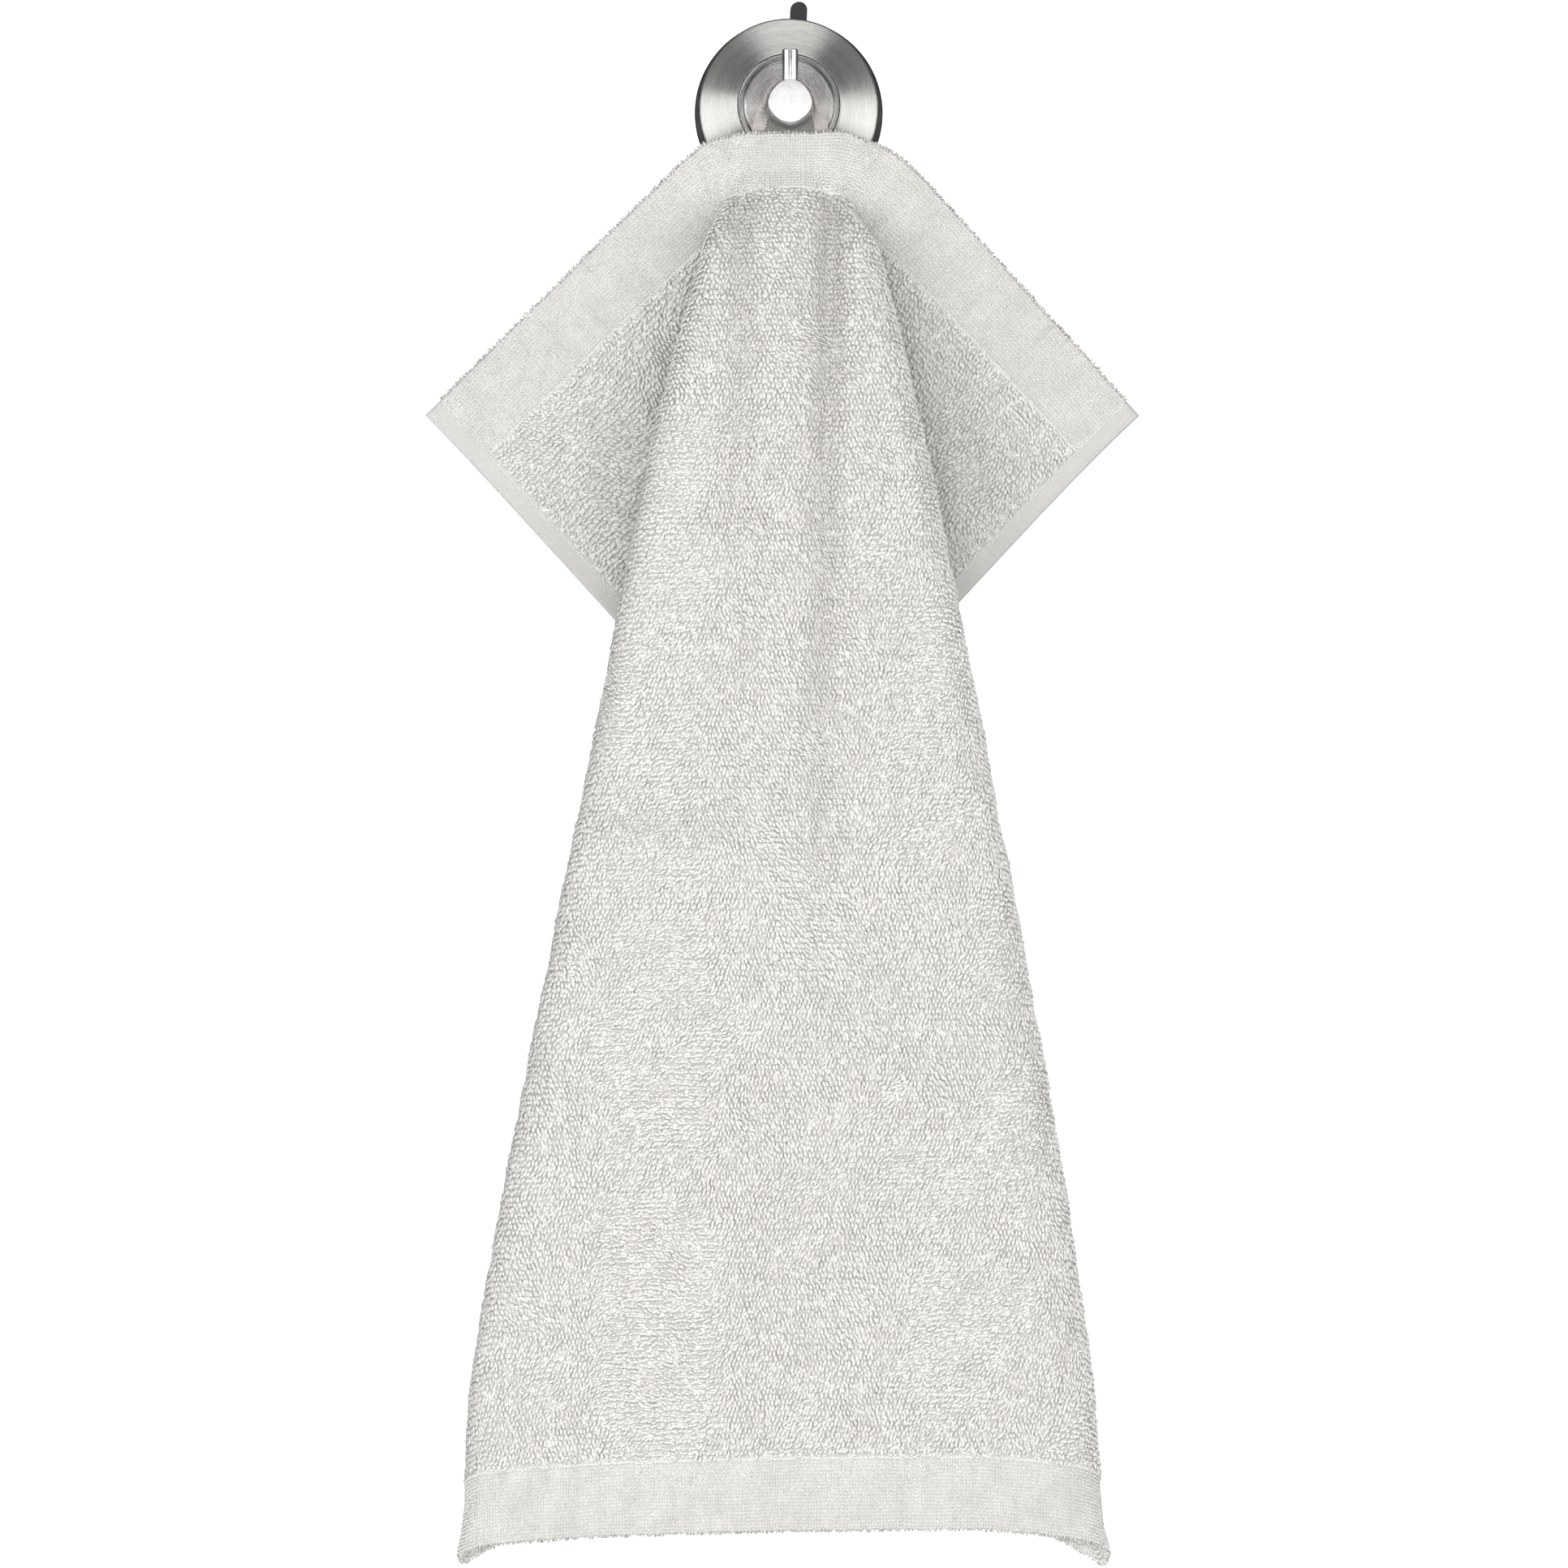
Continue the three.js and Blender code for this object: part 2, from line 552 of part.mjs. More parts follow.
function pinGeometry() {
  const bottom = PEG_RADIUS - PIN_HOLE + GAP;
  const points = [
    new THREE.Vector2(0, bottom),
    new THREE.Vector2(PIN_RADIUS, bottom),
    new THREE.Vector2(PIN_RADIUS, PIN_TOP - PIN_EDGE),
    new THREE.Vector2(PIN_RADIUS - PIN_EDGE, PIN_TOP),
    new THREE.Vector2(0, PIN_TOP),
  ];
  return new THREE.LatheGeometry(points, PIN_STEPS).rotateX(90 * DEG).translate(0, PIN_Y, 0);
}

function named(name, geometry, material) {
  const mesh = new THREE.Mesh(geometry, material);
  mesh.name = name;
  return mesh;
}

const hook = new THREE.Group();
hook.add(
  named("hook_suction_pad", padGeometry(), rubber()),
  named("hook_cover", coverGeometry(), steel()),
  named("hook_peg", pegGeometry(), steel()),
  named("hook_stop_pin", pinGeometry(), steel()),
);

const object = new THREE.Group();
object.add(
  hook,
  named("towel_cloth", towelGeometry(), cotton(0xd9d7d2)),
  named("hanging_loop", tapeGeometry(), cotton(0xb3aba6)),
);

export default object;
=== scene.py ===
# A pale guest towel that hangs by its tape loop from a round steel hook.
import math
import bmesh
import bpy
import numpy as np
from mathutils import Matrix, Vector


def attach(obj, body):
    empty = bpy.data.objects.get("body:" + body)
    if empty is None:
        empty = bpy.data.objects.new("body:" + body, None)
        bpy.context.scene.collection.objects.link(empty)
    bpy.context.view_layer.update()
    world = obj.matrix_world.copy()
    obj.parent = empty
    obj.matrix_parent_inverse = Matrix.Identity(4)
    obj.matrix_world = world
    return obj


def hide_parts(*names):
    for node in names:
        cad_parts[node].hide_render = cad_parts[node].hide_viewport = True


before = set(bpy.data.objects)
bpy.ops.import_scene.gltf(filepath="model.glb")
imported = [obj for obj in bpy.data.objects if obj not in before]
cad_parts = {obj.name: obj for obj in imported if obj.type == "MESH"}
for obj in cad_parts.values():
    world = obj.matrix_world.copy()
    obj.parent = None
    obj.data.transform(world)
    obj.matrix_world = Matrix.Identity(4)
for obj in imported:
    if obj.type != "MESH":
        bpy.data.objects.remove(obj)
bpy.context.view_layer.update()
mm = 0.001
degree = math.pi / 180
print("frame loaded:", sorted(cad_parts))


class Value:  # a number in a shader tree; an expression on it adds its Math nodes
    def __init__(self, tree, socket):
        self.tree = tree
        self.socket = socket

    def math(self, operation, *others, clamp=False):
        node = self.tree.nodes.new("ShaderNodeMath")
        node.operation = operation
        node.use_clamp = clamp
        for place, item in enumerate((self,) + others):
            if isinstance(item, Value):
                self.tree.links.new(item.socket, node.inputs[place])
            else:
                node.inputs[place].default_value = item
        return Value(self.tree, node.outputs[0])

    def __add__(self, other):
        return self.math("ADD", other)

    def __sub__(self, other):
        return self.math("SUBTRACT", other)

    def __rsub__(self, other):
        return self.math("MULTIPLY_ADD", -1.0, other)

    def __mul__(self, other):
        return self.math("MULTIPLY", other)

    def __truediv__(self, other):
        return self.math("DIVIDE", other)

    __radd__ = __add__
    __rmul__ = __mul__

    def step(self, low, high):  # 0 below low, 1 above high, soft between
        part = ((self - low) / (high - low)).math("ADD", 0.0, clamp=True)
        return part * part * (3.0 - 2.0 * part)


class Finish:  # one material: its tree, its main shader and the ways to add to it
    def __init__(self, name, color, **sockets):
        self.material = bpy.data.materials.new(name)
        self.material.use_nodes = True
        self.tree = self.material.node_tree
        self.main = self.tree.nodes["Principled BSDF"]
        self.main.inputs["Base Color"].default_value = (*color, 1)
        self.material.diffuse_color = (*color, 1)
        for label, value in sockets.items():
            self.main.inputs[label.replace("_", " ")].default_value = value

    def add(self, kind, settings=None, sockets=None):
        node = self.tree.nodes.new(kind)
        for label, value in (settings or {}).items():
            setattr(node, label, value)
        for label, value in (sockets or {}).items():
            self.join(value, node.inputs[label])
        return node

    def join(self, value, socket):
        if isinstance(value, Value):
            self.tree.links.new(value.socket, socket)
        elif isinstance(value, bpy.types.NodeSocket):
            self.tree.links.new(value, socket)
        else:
            socket.default_value = value

    def value(self, kind, output, settings=None, sockets=None):
        return Value(self.tree, self.add(kind, settings, sockets).outputs[output])

    def place(self):  # Object coordinates, in metres
        return self.add("ShaderNodeTexCoord").outputs["Object"]

    def axes(self, vector):
        node = self.add("ShaderNodeSeparateXYZ", None, {"Vector": vector})
        return [Value(self.tree, node.outputs[axis]) for axis in "XYZ"]

    def noise(self, vector, scale, detail=3.0, roughness=0.5):
        sockets = {"Vector": vector, "Scale": scale, "Detail": detail, "Roughness": roughness}
        return self.value("ShaderNodeTexNoise", "Fac", None, sockets)

    def mix(self, share, first, second):  # a colour between two colours
        node = self.add("ShaderNodeMix", {"data_type": "RGBA"})
        for label, value in ((0, share), (6, first), (7, second)):
            if isinstance(value, tuple):
                value = (*value, 1)
            self.join(value, node.inputs[label])
        return node.outputs[2]

    def bump(self, height, distance, strength=1.0):
        sockets = {"Height": height, "Distance": distance, "Strength": strength}
        node = self.add("ShaderNodeBump", None, sockets)
        self.join(node.outputs["Normal"], self.main.inputs["Normal"])

    def feed(self, label, value):
        self.join(value, self.main.inputs[label])


def growTree(name, inputs):
    tree = bpy.data.node_groups.new(name, "GeometryNodeTree")
    tree.interface.new_socket("Geometry", in_out="INPUT", socket_type="NodeSocketGeometry")
    tree.interface.new_socket("Geometry", in_out="OUTPUT", socket_type="NodeSocketGeometry")
    for label, kind, value in inputs:
        item = tree.interface.new_socket(label, in_out="INPUT", socket_type="NodeSocket" + kind)
        if value is not None:
            item.default_value = value
    return tree


def growNode(tree, kind, output, settings=None, sockets=None):  # adds a node and gives its output
    node = tree.nodes.new(kind)
    for label, value in (settings or {}).items():
        setattr(node, label, value)
    for label, value in (sockets or {}).items():
        if isinstance(value, bpy.types.NodeSocket):
            tree.links.new(value, node.inputs[label])
        else:
            node.inputs[label].default_value = value
    return node.outputs[output]


def growPiece(name, source, tree, values):
    # runs a tree on the source mesh and returns the result as a plain mesh object
    holder = bpy.data.objects.new(name + "_source", source)
    bpy.context.scene.collection.objects.link(holder)
    modifier = holder.modifiers.new(name, "NODES")
    modifier.node_group = tree
    for item in tree.interface.items_tree:
        if item.in_out == "INPUT" and item.name in values:
            modifier[item.identifier] = values[item.name]
    depsgraph = bpy.context.evaluated_depsgraph_get()
    mesh = bpy.data.meshes.new_from_object(holder.evaluated_get(depsgraph))
    mesh.name = name
    holder.modifiers.remove(modifier)
    bpy.data.objects.remove(holder)
    return addObject(name, mesh)


def addObject(name, mesh):
    piece = bpy.data.objects.new(name, mesh)
    bpy.context.scene.collection.objects.link(piece)
    return piece


def meshFrom(name, points, faces, smooth=True):
    mesh = bpy.data.meshes.new(name)
    mesh.from_pydata([], [], [])
    mesh.vertices.add(len(points))
    mesh.vertices.foreach_set("co", np.asarray(points, np.float32).ravel())
    faces = np.asarray(faces, np.int32)
    corners = faces.shape[1]
    mesh.loops.add(faces.size)
    mesh.loops.foreach_set("vertex_index", faces.ravel())
    mesh.polygons.add(len(faces))
    mesh.polygons.foreach_set("loop_start", np.arange(0, faces.size, corners, dtype=np.int32))
    mesh.update(calc_edges=True)
    mesh.validate()
    mesh.polygons.foreach_set("use_smooth", np.full(len(mesh.polygons), smooth))
    return mesh


# the towel's shape: flat cloth to hanging cloth, in millimetres

towel = {
    "width": 338,
    "length": 500,
    "topZ": -8.9,
    "bandWidth": 26,
    "hemWidth": 7.5,
    "archHalf": 26,
    "archNarrows": 2.4,
    "edgeSoft": 3,
    "halfPile": 1.15,  # half thickness of the ground cloth under the pile
    "halfBand": 0.95,
    "halfHem": 1.15,
    "edgeRound": 1.1,
    "lump": 0.55,  # where a band's end is caught in the hem
    "lumpWide": 2.6,
    "rumple": 0.32,  # soft unevenness of the surface
    "hills": ((1, 13, 3), (0.75, 7.5, 4), (0.45, 4.5, 5)),  # strength, size and seed
    "bandRumple": 0.9,
}
sides = {
    "left": {
        "sign": -1,
        "hinge": 26.4,
        "tuck": 44 * degree,
        "archDrop": 3.4,
        "give": 0.016,
        "bias": 0.05,
    },
    "right": {
        "sign": 1,
        "hinge": 31,
        "tuck": 47 * degree,
        "archDrop": 5.2,
        "give": 0,
        "bias": 0.12,
    },
}
drape = {
    "archWide": 9,
    "pegDip": 1.3,
    "pegDipFlat": 8,
    "pegDipEnd": 22,
    "archFade": 18,
    "creaseClear": 6,
    "wingEnd": 180,
    "flapLoosens": 220,
    "flapFree": 350,
    "dropFrom": 270,
    "belly": 3.5,
    "bellyFrom": 60,
    "bellyFull": 200,
    "wingBack": 6.5,
    "wingBackFrom": 45,
    "wingBackFull": 145,
    "creaseEases": 0.55,
    "tuckStarts": 95 * degree,
    "tuckFull": 135 * degree,
}


def rowsOf(names, *rows):  # a table: the names of its columns, then its rows
    columns = names.split()
    return {name: np.array([row[i] for row in rows], float) for i, name in enumerate(columns)}


frontRows = rowsOf(
    "r left right front wing sink",
    (0, 22, 21, -22.2, -22.2, 0),
    (12, 22, 21, -24.2, -22, 0.3),
    (22, 22, 20.5, -29, -21.6, 1.4),
    (32, 23.4, 21.5, -35.5, -21, 3),
    (45, 28.6, 28.6, -42, -20, 4.2),
    (65, 33.6, 33.8, -47.5, -19, 5.1),
    (100, 43.4, 42.2, -55, -18, 6),
    (150, 54, 52.9, -62, -17, 6.5),
    (200, 63.3, 62.6, -66, -16, 6.6),
    (300, 83, 81.2, -67, -14, 6.6),
    (400, 103, 98.6, -64, -12, 6.6),
    (460, 112.8, 106.8, -62, -12, 6.6),
    (492, 114.8, 109.4, -61, -12, 6.6),
    (530, 121, 118, -60, -12, 6.6),
)
tuckRows = rowsOf(
    "r turn left right back",
    (0, 8, 13, 13, 13),
    (12, 24, 13, 13, 13),
    (22, 66, 12, 12, 12),
    (32, 116, 12, 13, 11),
    (45, 142, 13, 15, 12),
    (65, 151, 14, 18, 14),
    (100, 157, 18, 22, 18),
    (150, 158, 22, 28, 20),
    (200, 158, 24, 32, 20),
    (300, 157, 27, 38, 20),
    (400, 155, 29, 42, 20),
    (460, 153, 30, 44, 20),
    (492, 152, 30, 43, 20),
    (530, 150, 30, 42, 20),
)
dropRows = rowsOf(
    "s left right",
    (0, 0, 0),
    (60, 1.8, -0.4),
    (90, 3.8, 1.8),
    (108, 5.6, 4.6),
    (118, 8.2, 7),
    (128, 9.8, 9.8),
    (140, 2.5, 3),
    (152, -6.5, -6),
    (172, -18, -18),
)
creases = rowsOf(
    "s drift depth wide from full fade end",
    (14.5, -0.02, 6.4, 5.5, 19, 31, 150, 340),
    (-17.5, 0, 4, 5, 19, 31, 80, 180),
    (0, 0, -1.6, 7, 24, 45, 120, 260),
    (24, 0.05, -1.6, 6, 26, 45, 110, 240),
)
dents = rowsOf(
    "s r depth along across",
    (-21, 27, 1.2, 7, 5),
    (17, 31, 1.2, 7, 5),
    (-16, 146, 1, 22, 5),
    (-44, 253, 1.2, 38, 6),
)


def smooth(low, high, x):
    part = np.clip((x - low) / (high - low), 0, 1)
    return part * part * (3 - 2 * part)


def readTable(table, key, name, x):  # a smooth curve through one column, read at x
    keys = table[key]
    values = table[name]
    rise = np.diff(values) / np.diff(keys)
    slope = np.concatenate([rise[:1], np.zeros(len(rise) - 1), rise[-1:]])
    sameWay = rise[:-1] * rise[1:] > 0
    total = np.where(sameWay, rise[:-1] + rise[1:], 1)
    slope[1:-1] = np.where(sameWay, 2 * rise[:-1] * rise[1:] / total, 0)
    x = np.clip(x, keys[0], keys[-1])
    i = np.clip(np.searchsorted(keys, x) - 1, 0, len(keys) - 2)
    gap = keys[i + 1] - keys[i]
    t = (x - keys[i]) / gap
    keepFirst = 2 * t**3 - 3 * t**2 + 1
    push = (t**3 - 2 * t**2 + t) * slope[i] + (t**3 - t**2) * slope[i + 1]
    return keepFirst * values[i] + (1 - keepFirst) * values[i + 1] + gap * push


def tuckAt(name, r):  # the measures of one side's tuck at a distance r down the cloth
    turn = readTable(tuckRows, "r", "turn", r) * degree
    out = readTable(tuckRows, "r", name, r)
    back = readTable(tuckRows, "r", "back", r)
    halfWidth = readTable(frontRows, "r", name, r)
    outRadius = out / turn
    backRadius = back / turn
    start = halfWidth - outRadius * np.sin(np.minimum(turn, 90 * degree))
    spare = sides[name]["tuck"] * r
    free = (spare - (out + back) * (1 - np.sin(turn) / turn)) / (1 - np.cos(turn))
    room = halfWidth - drape["creaseClear"] - (out + back) * (1 - np.sin(turn)) / turn
    most = room / np.maximum(0.2, -np.cos(turn))
    tucked = smooth(drape["tuckStarts"], drape["tuckFull"], turn)
    straight = np.maximum(0, np.minimum(free, most)) * tucked
    length = out + straight + back
    across = (outRadius + backRadius) * np.sin(turn) + straight * np.cos(turn)
    squeezed = length / (across + spare)
    pack = squeezed + (1 - squeezed) * smooth(drape["flapLoosens"], drape["flapFree"], r)
    deep = (outRadius + backRadius) * (1 - np.cos(turn)) + straight * np.sin(turn)
    depth = readTable(frontRows, "r", "wing", r) - readTable(frontRows, "r", "front", r)
    return {
        "turn": turn,
        "out": out,
        "back": back,
        "outRadius": outRadius,
        "backRadius": backRadius,
        "start": start,
        "straight": straight,
        "length": length,
        "pack": pack,
        "flatten": depth / deep,
        "wing": start + length / pack,
    }


def sectionPoint(k, s):  # how far out and how far back the cloth is, s along its cross-section
    turn = k["turn"]
    t = np.clip((s - k["start"]) * k["pack"], 0, k["length"])
    bend = turn * np.minimum(t, k["out"]) / k["out"]
    run = np.clip(t - k["out"], 0, k["straight"])
    rest = np.maximum(0, t - k["out"] - k["straight"])
    unbend = turn * (1 - rest / k["back"])
    across = np.minimum(s, k["start"]) + k["outRadius"] * np.sin(bend) + run * np.cos(turn)
    across += k["backRadius"] * (np.sin(turn) - np.sin(unbend)) + np.maximum(0, s - k["wing"])
    depth = k["outRadius"] * (1 - np.cos(bend)) + run * np.sin(turn)
    depth += k["backRadius"] * (np.cos(unbend) - np.cos(turn))
    return across, k["flatten"] * depth


def flatToSection(side, u, v):
    beyond = np.maximum(0, np.abs(u) - side["hinge"])
    r = np.hypot(beyond, v)
    s = np.where(beyond > 0, side["hinge"] + r * np.arctan2(beyond, v), np.abs(u))
    return r, s


def creaseDepth(s, r):
    total = np.zeros_like(s)
    for c in range(len(creases["s"])):
        row = {name: column[c] for name, column in creases.items()}
        middle = row["s"] + row["drift"] * (r - row["full"])
        eased = 1 - drape["creaseEases"] * smooth(row["full"], row["fade"], r)
        strength = smooth(row["from"], row["full"], r) * eased * (1 - smooth(row["fade"], row["end"], r))
        total += row["depth"] * strength * np.exp(-(((s - middle) / row["wide"]) ** 2))
    for d in range(len(dents["s"])):
        row = {name: column[d] for name, column in dents.items()}
        offAlong = (s - row["s"]) / row["along"]
        offAcross = (r - row["r"]) / row["across"]
        total += row["depth"] * np.exp(-(offAlong**2) - offAcross**2)
    return total


def sidePoint(name, u, v):
    side = sides[name]
    r, s = flatToSection(side, u, v)
    k = tuckAt(name, r)
    across, depth = sectionPoint(k, s)
    inTuck = smooth(k["start"], k["wing"], s)
    down = np.cos((s - side["hinge"]) / np.maximum(r, side["hinge"]))
    fades = 1 - smooth(drape["wingEnd"], drape["flapFree"], r)
    stretch = 1 + (side["give"] + side["bias"] * down**2) * inTuck * fades
    reach = (r - readTable(frontRows, "r", "sink", r) * (1 - inTuck)) * stretch
    swing = np.maximum(0, across - side["hinge"]) / np.maximum(r, 1e-6)
    x = np.where(across > side["hinge"], side["hinge"] + reach * np.sin(swing), across)
    z = -reach * np.cos(swing)
    front = np.minimum(1, s / k["start"])
    y = readTable(frontRows, "r", "front", r) + depth
    y += drape["belly"] * smooth(drape["bellyFrom"], drape["bellyFull"], r) * front**2
    y += creaseDepth(side["sign"] * s, r) * (1 - smooth(k["start"], k["start"] + k["out"], s))
    inWing = smooth(k["wing"] - k["back"], k["wing"], s)
    y += drape["wingBack"] * smooth(drape["wingBackFrom"], drape["wingBackFull"], across) * inWing
    rounding = side["archDrop"] * np.exp(-(((x - side["hinge"]) / drape["archWide"]) ** 2))
    dip = drape["pegDip"] * (1 - smooth(drape["pegDipFlat"], drape["pegDipEnd"], x))
    z -= (rounding + dip) * np.exp(-r / drape["archFade"])
    z -= readTable(dropRows, "s", name, s) * smooth(drape["dropFrom"], towel["length"], v)
    return np.stack([side["sign"] * x, y, towel["topZ"] + z], -1)


def clothPoint(u, v):
    left = sidePoint("left", u, v)
    right = sidePoint("right", u, v)
    return np.where((u < 0)[..., None], left, right)


def unit(vectors):
    return vectors / np.maximum(np.linalg.norm(vectors, axis=-1, keepdims=True), 1e-9)


def clothFrame(u, v):  # the cloth's middle, and its directions across, down and out of the front
    step = 0.4
    edge = towel["width"] / 2
    end = towel["length"]
    across = clothPoint(np.minimum(u + step, edge), v) - clothPoint(np.maximum(u - step, -edge), v)
    down = clothPoint(u, np.minimum(v + step, end)) - clothPoint(u, np.maximum(v - step, 0))
    across = unit(across)
    down = unit(down)
    return clothPoint(u, v), across, down, unit(np.cross(down, across))


def softNoise(u, v, size, seed):  # smooth noise from -1 to 1 with hills about size apart
    draw = np.random.default_rng(seed)
    cells = draw.uniform(-1, 1, (64, 64))
    x = np.asarray(u, float) / size + 17.3
    y = np.asarray(v, float) / size + 11.7
    i = np.floor(x).astype(int)
    j = np.floor(y).astype(int)
    a = x - i
    b = y - j
    a = a * a * (3 - 2 * a)
    b = b * b * (3 - 2 * b)
    at = lambda di, dj: cells[(i + di) % 64, (j + dj) % 64]
    top = at(0, 0) * (1 - a) + at(1, 0) * a
    low = at(0, 1) * (1 - a) + at(1, 1) * a
    return top * (1 - b) + low * b


def bandAt(u, v):  # how wide the nearer band is: the top one is a little narrower over the hook
    middle = 1 - smooth(2, towel["archHalf"], np.abs(u))
    return towel["bandWidth"] - towel["archNarrows"] * middle * (v < towel["length"] / 2)


def hemBump(u, v):  # the small lump where a band's end is caught in the hem
    fromEnd = np.minimum(v, towel["length"] - v)
    fromSide = towel["width"] / 2 - np.abs(u)
    inHem = 1 - smooth(towel["hemWidth"] - 1, towel["hemWidth"] + 1, fromSide)
    off = (fromEnd - towel["bandWidth"] - 1) / towel["lumpWide"]
    return towel["lump"] * inHem * np.exp(-(off**2))


def halfThickness(u, v):
    soft = towel["edgeSoft"]
    fromEnd = np.minimum(v, towel["length"] - v)
    fromSide = towel["width"] / 2 - np.abs(u)
    wide = bandAt(u, v)
    inPile = smooth(wide - soft, wide, fromEnd)
    body = towel["halfBand"] + (towel["halfPile"] - towel["halfBand"]) * inPile
    pastHem = smooth(towel["hemWidth"] - 1, towel["hemWidth"], fromSide)
    half = towel["halfHem"] + (body - towel["halfHem"]) * pastHem
    edge = np.clip(np.minimum(fromEnd, fromSide) / towel["edgeRound"], 0, 1)
    return (half + hemBump(u, v)) * np.sqrt(np.maximum(0.04, 1 - (1 - edge) ** 2))


def rumple(u, v):
    hills = sum(much * softNoise(u, v, size, seed) for much, size, seed in towel["hills"])
    fromEnd = np.minimum(v, towel["length"] - v)
    inBand = 1 - smooth(towel["bandWidth"] - 2, towel["bandWidth"] + 4, fromEnd)
    return towel["rumple"] * (hills + towel["bandRumple"] * inBand * softNoise(u, 0.35 * v, 5, 6))


def onSurface(u, v, face, lift):  # a point above the front (face 1) or back (face -1) of the cloth
    point, across, down, out = clothFrame(u, v)
    offset = face * (halfThickness(u, v) + lift) + rumple(u, v)
    return point + out * offset[..., None], across, down, out * face


# finishes

towelLook = {
    "pile": (0.81, 0.796, 0.774),
    "pileDark": (0.60, 0.586, 0.565),
    "ground": (0.76, 0.745, 0.723),
    "gap": (0.47, 0.457, 0.438),  # painted shade between the loops' feet
    "band": (0.80, 0.788, 0.768),
    "bandDark": (0.70, 0.687, 0.667),
    "bandGround": (0.56, 0.548, 0.528),
    "thread": (0.74, 0.73, 0.71),
    "threadDark": (0.64, 0.63, 0.61),
    "hem": (0.60, 0.592, 0.578),
    "hemDark": (0.54, 0.53, 0.515),
    "tape": (0.66, 0.62, 0.615),
    "tapeDark": (0.5, 0.46, 0.455),
    "patches": 0.06,  # share of the slow patches in a yarn's tone
    "ribPitch": 0.82,
    "pickPitch": 0.9,
    "crownsAcross": 0.8,  # crowns in a millimetre
    "crownsDown": 0.55,
    "crownHeight": 4,
    "weaveDepth": 0.00012,
}


def yarnFinish(name, shade, sheen):
    light = towelLook[shade]
    finish = Finish(
        name, light, Roughness=0.92, Specular_IOR_Level=0.22, Sheen_Weight=sheen, Sheen_Roughness=0.55
    )
    tone = finish.value("ShaderNodeAttribute", "Fac", {"attribute_name": "tone"})
    place = finish.place()
    share = tone * (1 - towelLook["patches"]) + finish.noise(place, 42, 2) * towelLook["patches"]
    finish.feed("Base Color", finish.mix(share, towelLook[shade + "Dark"], light))
    fibre = finish.noise(place, 2600, 2)
    finish.feed("Roughness", fibre * 0.12 + 0.86)
    return finish.material


def groundFinish():
    # the ground under the pile, the bands' ground and the ribbed hems, from the cloth's own flat map
    look = towelLook
    finish = Finish(
        "cotton_ground", look["ground"], Roughness=0.95, Specular_IOR_Level=0.2, Sheen_Weight=0.15
    )
    flat = finish.add("ShaderNodeUVMap", {"uv_map": "flat"}).outputs["UV"]
    across, down, _ = finish.axes(flat)
    fromSide = 0.5 * towel["width"] - across.math("ABSOLUTE")
    fromEnd = down.math("MINIMUM", towel["length"] - down)
    inHem = 1 - fromSide.step(towel["hemWidth"] - 0.6, towel["hemWidth"] + 0.2)
    inBand = 1 - fromEnd.step(towel["bandWidth"] - 1, towel["bandWidth"] + 1)
    inPile = (1 - inHem) * (1 - inBand)
    ribs = (across * (2 * math.pi / look["ribPitch"])).math("SINE")
    picks = (down * (2 * math.pi / look["pickPitch"])).math("SINE")
    weave = ribs * (0.55 + 0.45 * inBand) + ribs * picks * 0.8 * (1 - inBand) + picks * 0.25
    cloth = finish.noise(flat, 0.9, 3)
    # the feet of the loops between the modelled ones: small crowns, with painted shade in the gaps
    # between them
    sway = finish.noise(flat, 0.15, 2)
    feet = {"X": across * look["crownsAcross"] + sway * 4, "Y": down * look["crownsDown"] + sway * 3}
    spots = finish.add("ShaderNodeCombineXYZ", None, feet).outputs[0]
    cells = {"Vector": spots, "Scale": 1.0, "Smoothness": 0.35}
    apart = finish.value("ShaderNodeTexVoronoi", "Distance", {"feature": "SMOOTH_F1"}, cells)
    crown = 1 - apart.step(0.25, 0.7)
    creaseShade = finish.value("ShaderNodeAttribute", "Fac", {"attribute_name": "creaseShade"})
    # painted shade: the gap colour between the crowns
    body = finish.mix(crown, look["gap"], look["ground"])
    # painted shade in the creases: the ground turns towards the gap colour where they are deeper
    body = finish.mix(creaseShade, body, look["gap"])
    body = finish.mix(inBand, body, look["bandGround"])
    hem = finish.mix(cloth, look["hemDark"], look["hem"])
    finish.feed("Base Color", finish.mix(inHem, body, hem))
    height = weave * inHem + cloth * 0.8 + crown * inPile * look["crownHeight"]
    finish.bump(height, look["weaveDepth"], 0.8)
    finish.feed("Roughness", cloth * 0.1 + 0.86)
    return finish.material


pileFinish = yarnFinish("cotton_pile", "pile", 0.2)
bandFinish = yarnFinish("cotton_band", "band", 0.1)
threadFinish = yarnFinish("cotton_thread", "thread", 0.05)
tapeFinish = yarnFinish("cotton_tape", "tape", 0.1)
clothFinish = groundFinish()
print("finishes made")

# the towel's sheet

# the last two: the crease depth where the painted crease shade is fullest, and how strong it is on the
# sheet
grid = {"across": 3.2, "down": 3.6, "edge": 2.4, "deepestShade": 5, "sheetCreaseShade": 0.8}


def gridPlaces(low, high, step):  # even places, with a few close to both ends for the rounded edge
    near = [0, 0.18, 0.5, towel["edgeRound"]]
    inner = np.linspace(low + grid["edge"], high - grid["edge"], max(2, round((high - low) / step)))
    return np.array([low + d for d in near] + list(inner) + [high - d for d in reversed(near)])


def creaseShadeDepth(u, v):  # how deep the creases are here, up to a limit: the strength of the painted crease shade
    r, s = flatToSection(sides["right"], u, v)
    return np.clip(creaseDepth(u, r), 0, grid["deepestShade"])


def addUvs(mesh, name, perVertex):
    layer = mesh.uv_layers.new(name=name)
    corner = np.empty(len(mesh.loops), np.int32)
    mesh.loops.foreach_get("vertex_index", corner)
    layer.data.foreach_set("uv", np.asarray(perVertex, np.float32)[corner].ravel())


def addNumbers(mesh, name, values):
    layer = mesh.attributes.new(name, "FLOAT", "POINT")
    layer.data.foreach_set("value", np.asarray(values, np.float32))


